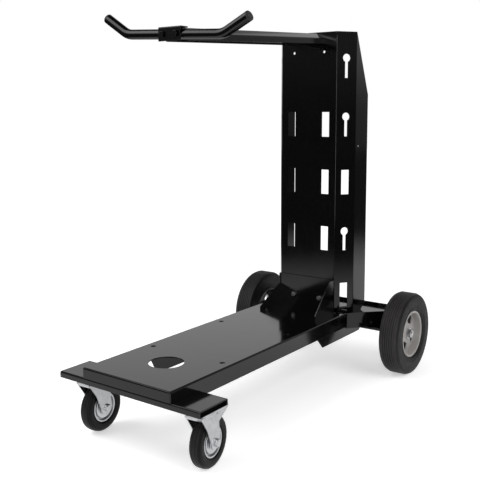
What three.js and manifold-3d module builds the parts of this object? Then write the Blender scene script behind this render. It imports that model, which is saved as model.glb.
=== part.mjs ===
// Welding cart: folded-sheet deck, tall cradle column, gas-cylinder tray, pull handle,
// two rear wheels and two swivel casters. Millimetres, +Z up, floor at z = 0.
// X runs across the cart, +Y runs from the casters to the rear wheels.

import * as THREE from 'three';
import { mergeVertices } from 'three/addons/utils/BufferGeometryUtils.js';
import Module from 'manifold-3d';

const wasm = await Module();
wasm.setup();

// Sheet metal and general clearances
const SHEET = 3;
const FIT = 0.3;
const CUT = 10;

// Deck pan, measured from its front edge at y = 0
const DECK_WIDTH = 284;
const DECK_LENGTH = 823;
const FRONT_SKIRT = 26.8;
const SIDE_SKIRT = 43;
const CABLE_HOLE_DIAMETER = 90;
const CABLE_HOLE_Y = 147;
const FIXING_HOLE_DIAMETER = 14;
const FIXING_HOLE_SPAN = 230;
const FIXING_HOLE_FRONT_Y = 225;
const FIXING_HOLE_PITCH = 295;
const RIB_BESIDE_HOLE = 5;
const RIB_BEHIND_CHANNEL = 42;
const RIB_NOSE_CUT = 22;

// Caster channel under the front of the deck
const CHANNEL_LENGTH = 449;
const CHANNEL_DEPTH = 102;
const CHANNEL_HEIGHT = 15.8;
const CHANNEL_SETBACK = 1;

// Column section: web, angled wings, flanges parallel to the cart
const WEB_WIDTH = 194;
const WING_OUT = 38;
const WING_BACK = 54;
const FLANGE_DEPTH = 79;
const COLUMN_HEIGHT = 854;
const WEB_TO_DECK_END = 6;
const WING_CLEARANCE = 8;
const FLANGE_CHAMFER_DROP = 186;
const FLANGE_CHAMFER_START = 2;
const FLANGE_HOLE_DIAMETER = 8;
const FLANGE_HOLE_RISE = 510;
const FLANGE_HOLE_BACK = 21;
const FLANGE_FOOT_TAPER = 26;
const FLANGE_FOOT_RISE = 8;

// Strap slots and keyholes
const SLOT_WIDTH = 26;
const SLOT_HEIGHT = 75;
const SLOT_SPAN = 120;
const SLOT_ROW_PITCH = 175.7;
const SLOT_FIRST_ROW = 49.6;
const KEYHOLE_DIAMETER = 25;
const KEYHOLE_NECK = 10;
const KEYHOLE_HEIGHT = 72;
const WEB_HOLE_DIAMETER = 8;
const WEB_HOLE_SPAN = 106;
const WEB_HOLE_BELOW_TOP = 59;

// Shoe at the foot of the column
const SHOE_HEIGHT = 98;
const SHOE_TIP_HEIGHT = 9;
const SHOE_LENGTH = 117;
const LOW_GUSSET_SHOULDER = 34;
const LOW_GUSSET_STEP = 4;
const TALL_GUSSET_TOP = 33;
const SHOE_BOLT_SPAN = 93;
const SHOE_BOLT_RISE = 35;

// Cylinder tray behind the column
const TRAY_GAP = 1;
const TRAY_ABOVE_AXLE = 23.4;
const TRAY_HEIGHT = 48;
const TRAY_FLOOR_RISE = 35.5;
const TRAY_FRONT_INSET = 1;
const TRAY_FLARE_OUT = 36;
const TRAY_FLARE_BACK = 46;
const TRAY_SPLAY = 45;
const TRAY_DEPTH = 176;
const TRAY_LIP = 9;
const TRAY_BOLT_ALONG = 26;
const TRAY_BOLT_RISE = 9;

// Axle carrier under the deck and tray
const CARRIER_WIDTH = 210;
const CARRIER_BELOW_AXLE = 22.6;
const CARRIER_UNDER_DECK = 177;
const CARRIER_CORNER = 14;
const CARRIER_BEHIND_AXLE = 20;

// Rear wheels
const REAR_TYRE_RADIUS = 127;
const REAR_TYRE_WIDTH = 64;
const REAR_WHEEL_FACES = 40;
const WHEEL_CLEARANCE = 9;
const AXLE_BEHIND_DECK = 139;
const AXLE_RADIUS = 8;
const SPACER_WALL = 2.2;
const SLEEVE_WALL = 3.2;
const REAR_RIM_RADIUS = 72;
const REAR_SEAT_RADIUS = 67.7;
const REAR_RIM_WIDTH = 54;
const REAR_HUB_RADIUS = 21;
const REAR_HUB_INNER = 30;
const REAR_HUB_OUTER = 13;
const RIM_DISC_CREST_RADIUS = 46;
const RIM_DISC_CREST_SETBACK = 18;
const RIM_DISC_SETBACK = 24;
const RIM_DISC_WALL = 4;
const RIM_WINDOWS = 4;
const RIM_WINDOW_ANGLE = 44;
const RIM_WINDOW_TURN = 65;
const RIM_WINDOW_INNER = 32;
const RIM_WINDOW_OUTER = 58;
const WASHER_RADIUS = 17;
const WASHER_THICKNESS = 2.5;
const AXLE_NUT_FLATS = 24;
const AXLE_NUT_HEIGHT = 9;

// Casters
const CASTER_INSET = 46.5;
const CASTER_SETBACK = 55;
const CASTER_TRAIL = 38;
const CASTER_TURN = { left: 3, right: 6 };
const CASTER_TYRE_RADIUS = 63.5;
const CASTER_TYRE_WIDTH = 32;
const CASTER_WHEEL_FACES = 32;
const CASTER_RIM_RADIUS = 38;
const CASTER_SEAT_RADIUS = 34;
const CASTER_DISC_RADIUS = 28;
const CASTER_GROOVE_DEPTH = 8;
const CASTER_RIM_WIDTH = 28;
const CASTER_HUB_RADIUS = 13;
const CASTER_HUB_WIDTH = 36;
const CASTER_BOLT_RADIUS = 5;
const CASTER_NUT_FLATS = 16.5;
const CASTER_SLEEVE_WALL = 2.5;
const FORK_GAP = 39;
const FORK_WALL = 3;
const FORK_CLEARANCE = 11.3;
const FORK_NOSE = 25;
const FORK_TAIL = 91;
const FORK_TAIL_DROP = 5.5;
const FORK_HEEL_DROP = 28;
const FORK_LIP_BACK = 6;
const FORK_LIP_DROP = 7;
const FORK_EYE_RADIUS = 15;
const FORK_FOOT_FILLET = 12;
const FORK_KNEE_FRONT = 23.5;
const FORK_NECK_FLARE = 11;
const RACE_RADIUS = 30;
const RACE_HEIGHT = 11;
const PLATE_LENGTH = 86;
const PLATE_WIDTH = 64;
const PLATE_BOSS_RADIUS = 24;
const PLATE_BOSS_HEIGHT = 14.6;
const KINGPIN_RADIUS = 8;
const KINGPIN_HEAD_RADIUS = 14;
const KINGPIN_HEAD_HEIGHT = 6;

// Support arm, a box with chamfered upper corners and a floor set up between its walls
const ARM_SHEET = 2.5;
const ARM_HALF_AT_COLUMN = 55.8;
const ARM_HALF_AT_HANDLE = 34.6;
const ARM_CHAMFER_AT_COLUMN = 24.5;
const ARM_CHAMFER_AT_HANDLE = 20;
const ARM_CHAMFER_HEIGHT = 15.2;
const ARM_SIDE_HEIGHT = 16;
const ARM_FLOOR_RISE = 4;
const ARM_TOP_BELOW_COLUMN = 3.5;
const ARM_FALL = 32.5;

// Handle bar and its saddle
const HANDLE_REACH = 629;
const HANDLE_BELOW_ARM = 16;
const HANDLE_RADIUS = 12.5;
const HANDLE_WALL = 2;
const HANDLE_STRAIGHT = 300;
const HANDLE_END_SPAN = 440;
const HANDLE_END_RISE = 38.5;
const HANDLE_TILT = THREE.MathUtils.degToRad(3);
const HANDLE_BEND_RADIUS = 60;
const HANDLE_SIDES = 14;
const HANDLE_BEND_STEPS = 4;
const CAP_DOME = 5;
const CAP_PLUG = 12;
const SADDLE_HEIGHT = 34;
const SADDLE_BOLT_SPAN = 42;

// Bolts
const BOLT_RADIUS = 4;
const BOLT_HEAD_FLATS = 13;
const BOLT_HEAD_HEIGHT = 5.5;
const NUT_HEIGHT = 6.5;
const THREAD_END = 2;
const ROUND_FACES = 24;
const HOLE_FACES = 16;
const KEYHOLE_ARC_STEPS = 6;

// Values that follow from the sizes above: heights first, then the places along the cart
const flatRadius = (radius, faces) => radius * Math.cos(Math.PI / faces);
const AXLE_Z = flatRadius(REAR_TYRE_RADIUS, REAR_WHEEL_FACES);
const CASTER_AXLE_Z = flatRadius(CASTER_TYRE_RADIUS, CASTER_WHEEL_FACES);
const FORK_TOP = CASTER_AXLE_Z + CASTER_TYRE_RADIUS + FORK_CLEARANCE + FORK_WALL;
const BOSS_FOOT = FORK_TOP + FIT + RACE_HEIGHT + FIT;
const PLATE_TOP = BOSS_FOOT + PLATE_BOSS_HEIGHT + SHEET;
const CHANNEL_TOP = PLATE_TOP + SHEET;
const DECK_TOP = CHANNEL_TOP + FRONT_SKIRT;
const COLUMN_TOP = DECK_TOP + COLUMN_HEIGHT;
const SHOE_BOLT_Z = DECK_TOP + SHOE_BOLT_RISE;
const TRAY_FOOT = AXLE_Z + TRAY_ABOVE_AXLE;
const TRAY_FLOOR = TRAY_FOOT + TRAY_FLOOR_RISE;
const TRAY_TOP = TRAY_FOOT + TRAY_HEIGHT;
const WING_FOOT = DECK_TOP + WING_CLEARANCE;
const TRAY_FRONT_TOP = WING_FOOT - FIT;
const CARRIER_BOTTOM = AXLE_Z - CARRIER_BELOW_AXLE;
const ARM_BACK_TOP = COLUMN_TOP - ARM_TOP_BELOW_COLUMN;
const ARM_FRONT_TOP = ARM_BACK_TOP - ARM_FALL;
const HANDLE_Z = ARM_FRONT_TOP - HANDLE_BELOW_ARM;
const WEB_Y = DECK_LENGTH - WEB_TO_DECK_END;
const WING_Y = WEB_Y + WING_BACK;
const FLANGE_X = WEB_WIDTH / 2 + WING_OUT;
const FLANGE_END_Y = WING_Y + FLANGE_DEPTH;
const TRAY_FRONT_X = DECK_WIDTH / 2 - TRAY_FRONT_INSET;
const TRAY_SIDE_X = TRAY_FRONT_X + TRAY_FLARE_OUT + TRAY_SPLAY;
const TRAY_FRONT_Y = DECK_LENGTH + TRAY_GAP;
const TRAY_BACK_Y = TRAY_FRONT_Y + TRAY_DEPTH;
const CARRIER_FRONT_Y = DECK_LENGTH - CARRIER_UNDER_DECK;
const AXLE_Y = DECK_LENGTH + AXLE_BEHIND_DECK;
const WHEEL_X = TRAY_SIDE_X + TRAY_LIP / Math.SQRT2 + WHEEL_CLEARANCE + REAR_TYRE_WIDTH / 2;
const SLEEVE_RADIUS = AXLE_RADIUS + FIT + SLEEVE_WALL;
const WASHER_SEAT = REAR_HUB_OUTER + FIT;
const NUT_SEAT = WASHER_SEAT + WASHER_THICKNESS + FIT / 3;
const AXLE_END = NUT_SEAT + AXLE_NUT_HEIGHT + THREAD_END;
const CASTER_X = CHANNEL_LENGTH / 2 - CASTER_INSET;
const CASTER_Y = CHANNEL_SETBACK + CASTER_SETBACK;
const CASTER_SLEEVE_RADIUS = CASTER_BOLT_RADIUS + FIT + CASTER_SLEEVE_WALL;
const HANDLE_Y = WEB_Y - HANDLE_REACH;
const CENTRE_Y = (AXLE_Y + AXLE_Z) / 2;

// Finishes

function finish(color, roughness, metalness) {
  return new THREE.MeshStandardMaterial({ color, roughness, metalness });
}
const blackPaint = () => finish(0x0b0b0c, 0.28, 0);
const zincSteel = () => finish(0xc9ccd0, 0.35, 1);
const brightSteel = () => finish(0xb4b6b8, 0.3, 1);
const greyRim = () => finish(0x9b9794, 0.45, 0.6);
const tyreRubber = () => finish(0x2c2a2a, 0.75, 0);
const blackPlastic = () => finish(0x141414, 0.55, 0);
const bushPlastic = () => finish(0x303234, 0.5, 0);

// Solids: closed meshes that can be cut and joined

function closedMesh(geometry) {
  const bare = geometry.clone();
  bare.deleteAttribute('normal');
  bare.deleteAttribute('uv');
  const merged = mergeVertices(bare, 1e-4);
  const position = merged.getAttribute('position').array;
  const corners = [];
  let volume = 0;
  const a = new THREE.Vector3();
  const b = new THREE.Vector3();
  const c = new THREE.Vector3();
  for (let i = 0; i < merged.index.count; i += 3) {
    const [p, q, r] = merged.index.array.slice(i, i + 3);
    if (p === q || q === r || r === p) continue;
    a.fromArray(position, p * 3);
    b.fromArray(position, q * 3);
    c.fromArray(position, r * 3);
    volume += a.dot(b.cross(c));
    corners.push([p, q, r]);
  }
  const outward = volume > 0 ? corners : corners.map(([p, q, r]) => [p, r, q]);
  return { vertProperties: Float32Array.from(position), triVerts: Uint32Array.from(outward.flat()) };
}

function solid(geometry) {
  return new wasm.Manifold(new wasm.Mesh({ numProp: 3, ...closedMesh(geometry) }));
}

function meshGeometry(body) {
  const { vertProperties, triVerts } = body.getMesh();
  const geometry = new THREE.BufferGeometry();
  geometry.setAttribute('position', new THREE.BufferAttribute(Float32Array.from(vertProperties), 3));
  geometry.setIndex(new THREE.BufferAttribute(Uint32Array.from(triVerts), 1));
  geometry.computeVertexNormals();
  return geometry;
}

const point = (x, y, z) => new THREE.Vector3(x, y, z);
const UP = point(0, 0, 1);
const cutFrom = (base, ...cutters) => cutters.reduce((body, cutter) => body.subtract(cutter), base);

// Outlines: corners given as [a, b] or [a, b, fillet radius]

function outline(corners) {
  const shape = new THREE.Shape();
  corners.forEach(([a, b, radius = 0], i) => {
    const corner = new THREE.Vector2(a, b);
    const before = corners[(i + corners.length - 1) % corners.length];
    const after = corners[(i + 1) % corners.length];
    const toBefore = new THREE.Vector2(before[0] - a, before[1] - b).normalize();
    const toAfter = new THREE.Vector2(after[0] - a, after[1] - b).normalize();
    const half = Math.acos(THREE.MathUtils.clamp(toBefore.dot(toAfter), -1, 1)) / 2;
    const reach = radius / Math.tan(half);
    const start = corner.clone().addScaledVector(toBefore, reach);
    const end = corner.clone().addScaledVector(toAfter, reach);
    if (i === 0) shape.moveTo(start.x, start.y);
    else shape.lineTo(start.x, start.y);
    if (radius === 0) return;
    const middle = toBefore.clone().add(toAfter).normalize().multiplyScalar(radius / Math.sin(half));
    const centre = corner.clone().add(middle);
    const from = Math.atan2(start.y - centre.y, start.x - centre.x);
    const to = Math.atan2(end.y - centre.y, end.x - centre.x);
    const clockwise = toBefore.cross(toAfter) > 0;
    shape.absarc(centre.x, centre.y, radius, from, to, clockwise);
  });
  shape.closePath();
  return shape;
}

function circleShape(radius, faces = ROUND_FACES) {
  const step = (2 * Math.PI) / faces;
  const points = Array.from({ length: faces }, (_, i) => {
    const angle = (i + 0.5) * step;
    return new THREE.Vector2(radius * Math.cos(angle), radius * Math.sin(angle));
  });
  return new THREE.Shape(points);
}

function extrude(shape, length, arcSteps = 2) {
  return new THREE.ExtrudeGeometry(shape, { depth: length, bevelEnabled: false, curveSegments: arcSteps });
}

// Extrusions from a first to a last value along one axis; the outline lies in the other two

function alongX(shape, first, last) {
  const place = new THREE.Matrix4().makeBasis(
    new THREE.Vector3(0, 1, 0), new THREE.Vector3(0, 0, 1), new THREE.Vector3(1, 0, 0));
  return solid(extrude(shape, last - first).applyMatrix4(place).translate(first, 0, 0));
}

function alongY(shape, first, last) {
  const place = new THREE.Matrix4().makeBasis(
    new THREE.Vector3(1, 0, 0), new THREE.Vector3(0, 0, 1), new THREE.Vector3(0, -1, 0));
  return solid(extrude(shape, last - first).applyMatrix4(place).translate(0, last, 0));
}

function alongZ(shape, first, last) {
  return solid(extrude(shape, last - first).translate(0, 0, first));
}

function block(x0, x1, y0, y1, z0, z1) {
  const box = new THREE.BoxGeometry(x1 - x0, y1 - y0, z1 - z0);
  return solid(box.translate((x0 + x1) / 2, (y0 + y1) / 2, (z0 + z1) / 2));
}

// A round rod or a round hole between two points
function rod(radius, from, to, faces = ROUND_FACES) {
  const axis = new THREE.Vector3().subVectors(to, from);
  const geometry = extrude(circleShape(radius, faces), axis.length());
  const turn = new THREE.Quaternion().setFromUnitVectors(UP, axis.normalize());
  return solid(geometry.applyQuaternion(turn).translate(from.x, from.y, from.z));
}

// A closed profile of [radius, height] pairs turned about the X axis, with a flat face downwards
function turnedAboutX(profile, faces) {
  const points = [...profile, profile[0]].map(([radius, along]) => new THREE.Vector2(radius, along));
  const geometry = new THREE.LatheGeometry(points, faces, Math.PI / faces);
  return solid(geometry.rotateZ(-Math.PI / 2));
}

function turnedAboutZ(profile, faces) {
  const points = [...profile, profile[0]].map(([radius, along]) => new THREE.Vector2(radius, along));
  return solid(new THREE.LatheGeometry(points, faces, Math.PI / faces).rotateX(Math.PI / 2));
}

function addPiece(group, name, body, material) {
  const mesh = new THREE.Mesh(meshGeometry(body), material);
  mesh.name = name;
  group.add(mesh);
}

// A hexagon-headed bolt along +Z: the head's seat is at z = 0 and the shank runs down
function hexBolt(shank) {
  const head = extrude(circleShape(BOLT_HEAD_FLATS / Math.sqrt(3), 6), BOLT_HEAD_HEIGHT);
  const stem = extrude(circleShape(BOLT_RADIUS, 12), shank + BOLT_HEAD_HEIGHT / 2).translate(0, 0, -shank);
  return solid(head).add(solid(stem));
}

// A hexagon nut along +Z that starts at z = first
function boltNut(first) {
  const nut = circleShape(BOLT_HEAD_FLATS / Math.sqrt(3), 6);
  nut.holes.push(circleShape(BOLT_RADIUS + FIT, HOLE_FACES));
  return alongZ(nut, first, first + NUT_HEIGHT);
}

const moved = (body, x, y, z) => body.translate([x, y, z]);

// Turns a piece made along +Z to point another way and moves it to its seat
function placed(body, direction, seat) {
  const turn = new THREE.Quaternion().setFromUnitVectors(UP, direction);
  return solid(meshGeometry(body).applyQuaternion(turn).translate(seat.x, seat.y, seat.z));
}

// Deck pan and caster channel

function deckPan() {
  const half = DECK_WIDTH / 2;
  const hollow = block(-half + SHEET, half - SHEET, SHEET, DECK_LENGTH - SHEET, 0, DECK_TOP - SHEET);
  const seatEnd = CHANNEL_SETBACK + CHANNEL_DEPTH + FIT;
  const channelSeat = block(-half - CUT, half + CUT, -CUT, seatEnd, 0, CHANNEL_TOP);
  const pan = block(-half, half, 0, DECK_LENGTH, DECK_TOP - SIDE_SKIRT, DECK_TOP);
  const hole = (diameter, x, y) => rod(
    diameter / 2, point(x, y, DECK_TOP - CUT), point(x, y, DECK_TOP + CUT));
  const holes = [hole(CABLE_HOLE_DIAMETER, 0, CABLE_HOLE_Y)];
  for (const side of [-1, 1]) {
    for (const row of [0, 1]) {
      const y = FIXING_HOLE_FRONT_Y + row * FIXING_HOLE_PITCH;
      holes.push(hole(FIXING_HOLE_DIAMETER, (side * FIXING_HOLE_SPAN) / 2, y));
    }
  }
  return cutFrom(pan, hollow, channelSeat, ...holes);
}

function deckRib(side) {
  const middle = side * (CABLE_HOLE_DIAMETER / 2 + RIB_BESIDE_HOLE);
  const nose = CHANNEL_SETBACK + CHANNEL_DEPTH + RIB_BEHIND_CHANNEL;
  const top = DECK_TOP - SHEET;
  const foot = DECK_TOP - SIDE_SKIRT;
  const plate = outline([
    [nose, top], [nose + RIB_NOSE_CUT, foot], [CARRIER_FRONT_Y, foot], [CARRIER_FRONT_Y, top],
  ]);
  return alongX(plate, middle - SHEET / 2, middle + SHEET / 2);
}

function casterChannel() {
  const front = CHANNEL_SETBACK;
  const back = front + CHANNEL_DEPTH;
  const bottom = CHANNEL_TOP - CHANNEL_HEIGHT;
  const section = outline([
    [front, bottom], [front + SHEET, bottom], [front + SHEET, CHANNEL_TOP - SHEET],
    [back - SHEET, CHANNEL_TOP - SHEET], [back - SHEET, bottom], [back, bottom],
    [back, CHANNEL_TOP], [front, CHANNEL_TOP],
  ]);
  const half = CHANNEL_LENGTH / 2;
  const leftEnd = block(-half, -half + SHEET, front, back, bottom, CHANNEL_TOP);
  const rightEnd = block(half - SHEET, half, front, back, bottom, CHANNEL_TOP);
  return alongX(section, -half, half).add(leftEnd).add(rightEnd);
}

// Column

function columnSection() {
  const wing = new THREE.Vector2(WING_OUT, WING_BACK).normalize();
  const webInset = SHEET * Math.tan(Math.atan2(wing.y, wing.x) / 2);
  const wingInset = SHEET * Math.tan(Math.atan2(wing.x, wing.y) / 2);
  const webX = WEB_WIDTH / 2;
  const right = [
    [webX, WEB_Y], [FLANGE_X, WING_Y], [FLANGE_X, FLANGE_END_Y],
    [FLANGE_X - SHEET, FLANGE_END_Y], [FLANGE_X - SHEET, WING_Y + wingInset],
    [webX - webInset, WEB_Y + SHEET],
  ];
  const left = right.map(([x, y]) => [-x, y]).reverse();
  return outline([...right, ...left]);
}

function wingFrame(side, z) {
  const along = new THREE.Vector3(side * WING_OUT, WING_BACK, 0).normalize();
  const out = new THREE.Vector3().crossVectors(along, UP);
  const place = new THREE.Matrix4().makeBasis(along, UP, out);
  place.setPosition(side * (WEB_WIDTH + WING_OUT) / 2, WEB_Y + WING_BACK / 2, z);
  return place;
}

function wingCut(shape, side, z) {
  const geometry = extrude(shape, 2 * CUT, KEYHOLE_ARC_STEPS).translate(0, 0, -CUT);
  return solid(geometry.applyMatrix4(wingFrame(side, z)));
}

function rectangle(width, height) {
  const a = width / 2;
  const b = height / 2;
  return outline([[-a, -b], [a, -b], [a, b], [-a, b]]);
}

function keyhole() {
  const radius = KEYHOLE_DIAMETER / 2;
  const neck = KEYHOLE_NECK / 2;
  const eye = KEYHOLE_HEIGHT / 2 - radius;
  const open = Math.asin(neck / radius);
  const shape = new THREE.Shape();
  shape.moveTo(-neck, -KEYHOLE_HEIGHT / 2);
  shape.lineTo(neck, -KEYHOLE_HEIGHT / 2);
  shape.absarc(0, eye, radius, -Math.PI / 2 + open, (3 * Math.PI) / 2 - open, false);
  shape.closePath();
  return shape;
}

// The rows that fit below the holes at the top; a keyhole stands in every odd row and in the top one
function slotRows() {
  const room = COLUMN_HEIGHT - WEB_HOLE_BELOW_TOP + SLOT_HEIGHT / 2 - SLOT_FIRST_ROW;
  const count = Math.floor(room / SLOT_ROW_PITCH) + 1;
  return Array.from({ length: count }, (_, row) => ({
    z: DECK_TOP + SLOT_FIRST_ROW + row * SLOT_ROW_PITCH,
    keyhole: row % 2 === 1 || row === count - 1,
    web: row > 0 && row < count - 1,
  }));
}

function columnOpenings() {
  const cuts = [];
  const slot = rectangle(SLOT_WIDTH, SLOT_HEIGHT);
  const eye = keyhole();
  for (const side of [-1, 1]) {
    for (const row of slotRows()) {
      cuts.push(wingCut(row.keyhole ? eye : slot, side, row.z));
      if (row.web) cuts.push(moved(alongY(slot, WEB_Y - CUT, WEB_Y + CUT), (side * SLOT_SPAN) / 2, 0, row.z));
    }
    cuts.push(webHole(WEB_HOLE_DIAMETER / 2, (side * WEB_HOLE_SPAN) / 2, COLUMN_TOP - WEB_HOLE_BELOW_TOP));
    cuts.push(webHole(BOLT_RADIUS + FIT, (side * SHOE_BOLT_SPAN) / 2, SHOE_BOLT_Z));
    const flangeY = WING_Y + FLANGE_HOLE_BACK;
    const flangeZ = DECK_TOP + FLANGE_HOLE_RISE;
    cuts.push(rod(FLANGE_HOLE_DIAMETER / 2, point(side * (FLANGE_X - CUT), flangeY, flangeZ),
      point(side * (FLANGE_X + CUT), flangeY, flangeZ), HOLE_FACES));
  }
  return cuts;
}

// A round hole through the web and whatever stands against it
function webHole(radius, x, z) {
  return rod(radius, point(x, WEB_Y - CUT, z), point(x, WEB_Y + CUT, z), HOLE_FACES);
}

function column() {
  const reach = FLANGE_X + CUT;
  const webEdge = WEB_WIDTH / 2;
  const bar = alongZ(columnSection(), TRAY_FLOOR + SHEET, COLUMN_TOP);
  const insideTray = TRAY_FRONT_Y + SHEET + FIT;
  const belowWeb = block(-reach, reach, WEB_Y - CUT, insideTray, 0, DECK_TOP);
  const belowWings = [[-reach, -webEdge], [webEdge, reach]].map(
    ([x0, x1]) => block(x0, x1, WEB_Y - CUT, insideTray, 0, WING_FOOT));
  const slopeTop = WING_Y + FLANGE_CHAMFER_START;
  const slope = alongX(outline([
    [slopeTop, COLUMN_TOP], [FLANGE_END_Y, COLUMN_TOP - FLANGE_CHAMFER_DROP],
    [FLANGE_END_Y + CUT, COLUMN_TOP - FLANGE_CHAMFER_DROP], [FLANGE_END_Y + CUT, COLUMN_TOP + CUT],
    [slopeTop, COLUMN_TOP + CUT],
  ]), -reach, reach);
  const taperTop = TRAY_TOP + FLANGE_FOOT_RISE;
  const footTaper = alongX(outline([
    [FLANGE_END_Y, taperTop], [FLANGE_END_Y - FLANGE_FOOT_TAPER, TRAY_FLOOR + SHEET],
    [FLANGE_END_Y - FLANGE_FOOT_TAPER, TRAY_FLOOR - CUT], [FLANGE_END_Y + CUT, TRAY_FLOOR - CUT],
    [FLANGE_END_Y + CUT, taperTop],
  ]), -reach, reach);
  return cutFrom(bar, belowWeb, ...belowWings, slope, footTaper, ...columnOpenings());
}

// Shoe: a front plate against the web with a gusset folded forward at each end.
// The right gusset rises to the top of the plate, the left one stays low.

function columnShoe() {
  const half = WEB_WIDTH / 2 + SHEET;
  const back = WEB_Y - FIT;
  const face = back - SHEET;
  const tip = back - SHOE_LENGTH;
  const top = DECK_TOP + SHOE_HEIGHT;
  const tipTop = DECK_TOP + SHOE_TIP_HEIGHT;
  const lowGusset = outline([
    [tip, DECK_TOP], [back, DECK_TOP], [back, top], [face - LOW_GUSSET_STEP, top],
    [face - LOW_GUSSET_STEP, top - LOW_GUSSET_SHOULDER], [tip, tipTop],
  ]);
  const tallGusset = outline([
    [tip, DECK_TOP], [back, DECK_TOP], [back, top], [back - TALL_GUSSET_TOP, top], [tip, tipTop],
  ]);
  const plate = block(-half, half, face, back, DECK_TOP, top);
  const left = alongX(lowGusset, -half, -half + SHEET);
  const right = alongX(tallGusset, half - SHEET, half);
  const holes = [-1, 1].map((side) => webHole(BOLT_RADIUS + FIT, (side * SHOE_BOLT_SPAN) / 2, SHOE_BOLT_Z));
  return cutFrom(plate.add(left).add(right), ...holes);
}

// Cylinder tray: open tray whose front corners flare out towards the wheels.
// Its floor sits inside the wall, which hangs below it as a skirt and rises in front to the wings.

function trayCorners(inset) {
  const flare = [TRAY_FRONT_X + TRAY_FLARE_OUT, TRAY_FRONT_Y + TRAY_FLARE_BACK];
  const splay = [flare[0] + TRAY_SPLAY, flare[1] + TRAY_SPLAY];
  const flareAngle = Math.atan2(TRAY_FLARE_BACK, TRAY_FLARE_OUT);
  const splayAngle = Math.PI / 4;
  const frontCut = inset * Math.tan(flareAngle / 2);
  const bend = (flareAngle + splayAngle) / 2;
  const knee = inset / Math.cos((flareAngle - splayAngle) / 2);
  const sideCut = inset * Math.tan((Math.PI / 2 - splayAngle) / 2);
  return [
    [TRAY_FRONT_X - frontCut, TRAY_FRONT_Y + inset],
    [flare[0] - knee * Math.sin(bend), flare[1] + knee * Math.cos(bend)],
    [splay[0] - inset, splay[1] + sideCut],
    [splay[0] - inset, TRAY_BACK_Y - inset],
  ];
}

function bothSides(corners) {
  return outline([...corners, ...corners.map(([x, y]) => [-x, y]).reverse()]);
}

function cylinderTray() {
  const shell = alongZ(bothSides(trayCorners(0)), TRAY_FOOT, TRAY_TOP);
  const inside = alongZ(bothSides(trayCorners(SHEET)), TRAY_FLOOR + SHEET, TRAY_TOP + CUT);
  const underside = alongZ(bothSides(trayCorners(SHEET)), TRAY_FOOT - CUT, TRAY_FLOOR);
  const [, flare, splay] = trayCorners(0);
  const shift = TRAY_LIP / Math.SQRT2;
  const lips = [-1, 1].map((side) => alongZ(outline([
    [side * flare[0], flare[1]], [side * (flare[0] + shift), flare[1] - shift],
    [side * (splay[0] + shift), splay[1] - shift], [side * splay[0], splay[1]],
  ]), TRAY_FOOT, TRAY_FOOT + SHEET));
  const bolts = [-1, 1].map((side) => {
    const { seat, out } = trayBoltSeat(side);
    const inner = seat.clone().addScaledVector(out, -CUT);
    const outer = seat.clone().addScaledVector(out, CUT);
    return rod(BOLT_RADIUS + FIT, inner, outer, HOLE_FACES);
  });
  const frontWall = block(
    -TRAY_FRONT_X, TRAY_FRONT_X, TRAY_FRONT_Y, TRAY_FRONT_Y + SHEET, TRAY_FLOOR, TRAY_FRONT_TOP);
  const tray = cutFrom(shell, inside, underside).add(frontWall);
  return tray.add(lips[0]).add(lips[1]).subtract(bolts[0]).subtract(bolts[1]);
}

function trayBoltSeat(side) {
  const [, flare] = trayCorners(0);
  const along = TRAY_BOLT_ALONG / Math.SQRT2;
  const seat = point(side * (flare[0] + along), flare[1] + along, TRAY_FOOT + SHEET + TRAY_BOLT_RISE);
  const out = point(side, -1, 0).normalize();
  return { seat, out };
}

// Axle carrier: a U under the deck whose cheeks run back below the tray to the axle
// and rise inside its skirt to carry the floor

function axleCarrier() {
  const half = CARRIER_WIDTH / 2;
  const top = DECK_TOP - SHEET;
  const chamferEnd = CARRIER_FRONT_Y + top - CARRIER_BOTTOM;
  const tail = AXLE_Y + CARRIER_BEHIND_AXLE;
  const deckEnd = DECK_LENGTH - SHEET;
  const skirtBack = TRAY_FRONT_Y + SHEET + FIT;
  const cheek = outline([
    [CARRIER_FRONT_Y, top], [chamferEnd, CARRIER_BOTTOM], [tail, CARRIER_BOTTOM, CARRIER_CORNER],
    [tail, TRAY_FLOOR], [skirtBack, TRAY_FLOOR], [skirtBack, TRAY_FOOT], [deckEnd - FIT, TRAY_FOOT],
    [deckEnd - FIT, top],
  ]);
  const bridge = block(-half, half, CARRIER_FRONT_Y + SHEET, deckEnd - FIT, top - SHEET, top);
  const skirtFoot = DECK_TOP - SIDE_SKIRT;
  const rearSkirt = block(-half - CUT, half + CUT, deckEnd - FIT, TRAY_FRONT_Y, skirtFoot - FIT, DECK_TOP);
  const cheeks = [alongX(cheek, -half, -half + SHEET), alongX(cheek, half - SHEET, half)];
  const hole = rod(AXLE_RADIUS + FIT, point(-half - CUT, AXLE_Y, AXLE_Z), point(half + CUT, AXLE_Y, AXLE_Z));
  return cutFrom(bridge.add(cheeks[0]).add(cheeks[1]), hole, rearSkirt);
}

// Support arm

function armSection(halfWidth, chamfer, top, inset, y) {
  const fold = top - ARM_CHAMFER_HEIGHT;
  const bottom = fold - ARM_SIDE_HEIGHT + (inset > 0 ? ARM_FLOOR_RISE + inset : 0);
  const slope = Math.atan2(ARM_CHAMFER_HEIGHT, chamfer);
  const roof = halfWidth - chamfer - inset * Math.tan(slope / 2);
  const wall = halfWidth - inset;
  const shoulder = fold - inset * Math.tan((Math.PI / 2 - slope) / 2);
  return [
    [-wall, bottom], [wall, bottom], [wall, shoulder],
    [roof, top - inset], [-roof, top - inset], [-wall, shoulder],
  ].map(([x, z]) => point(x, y, z));
}

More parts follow.
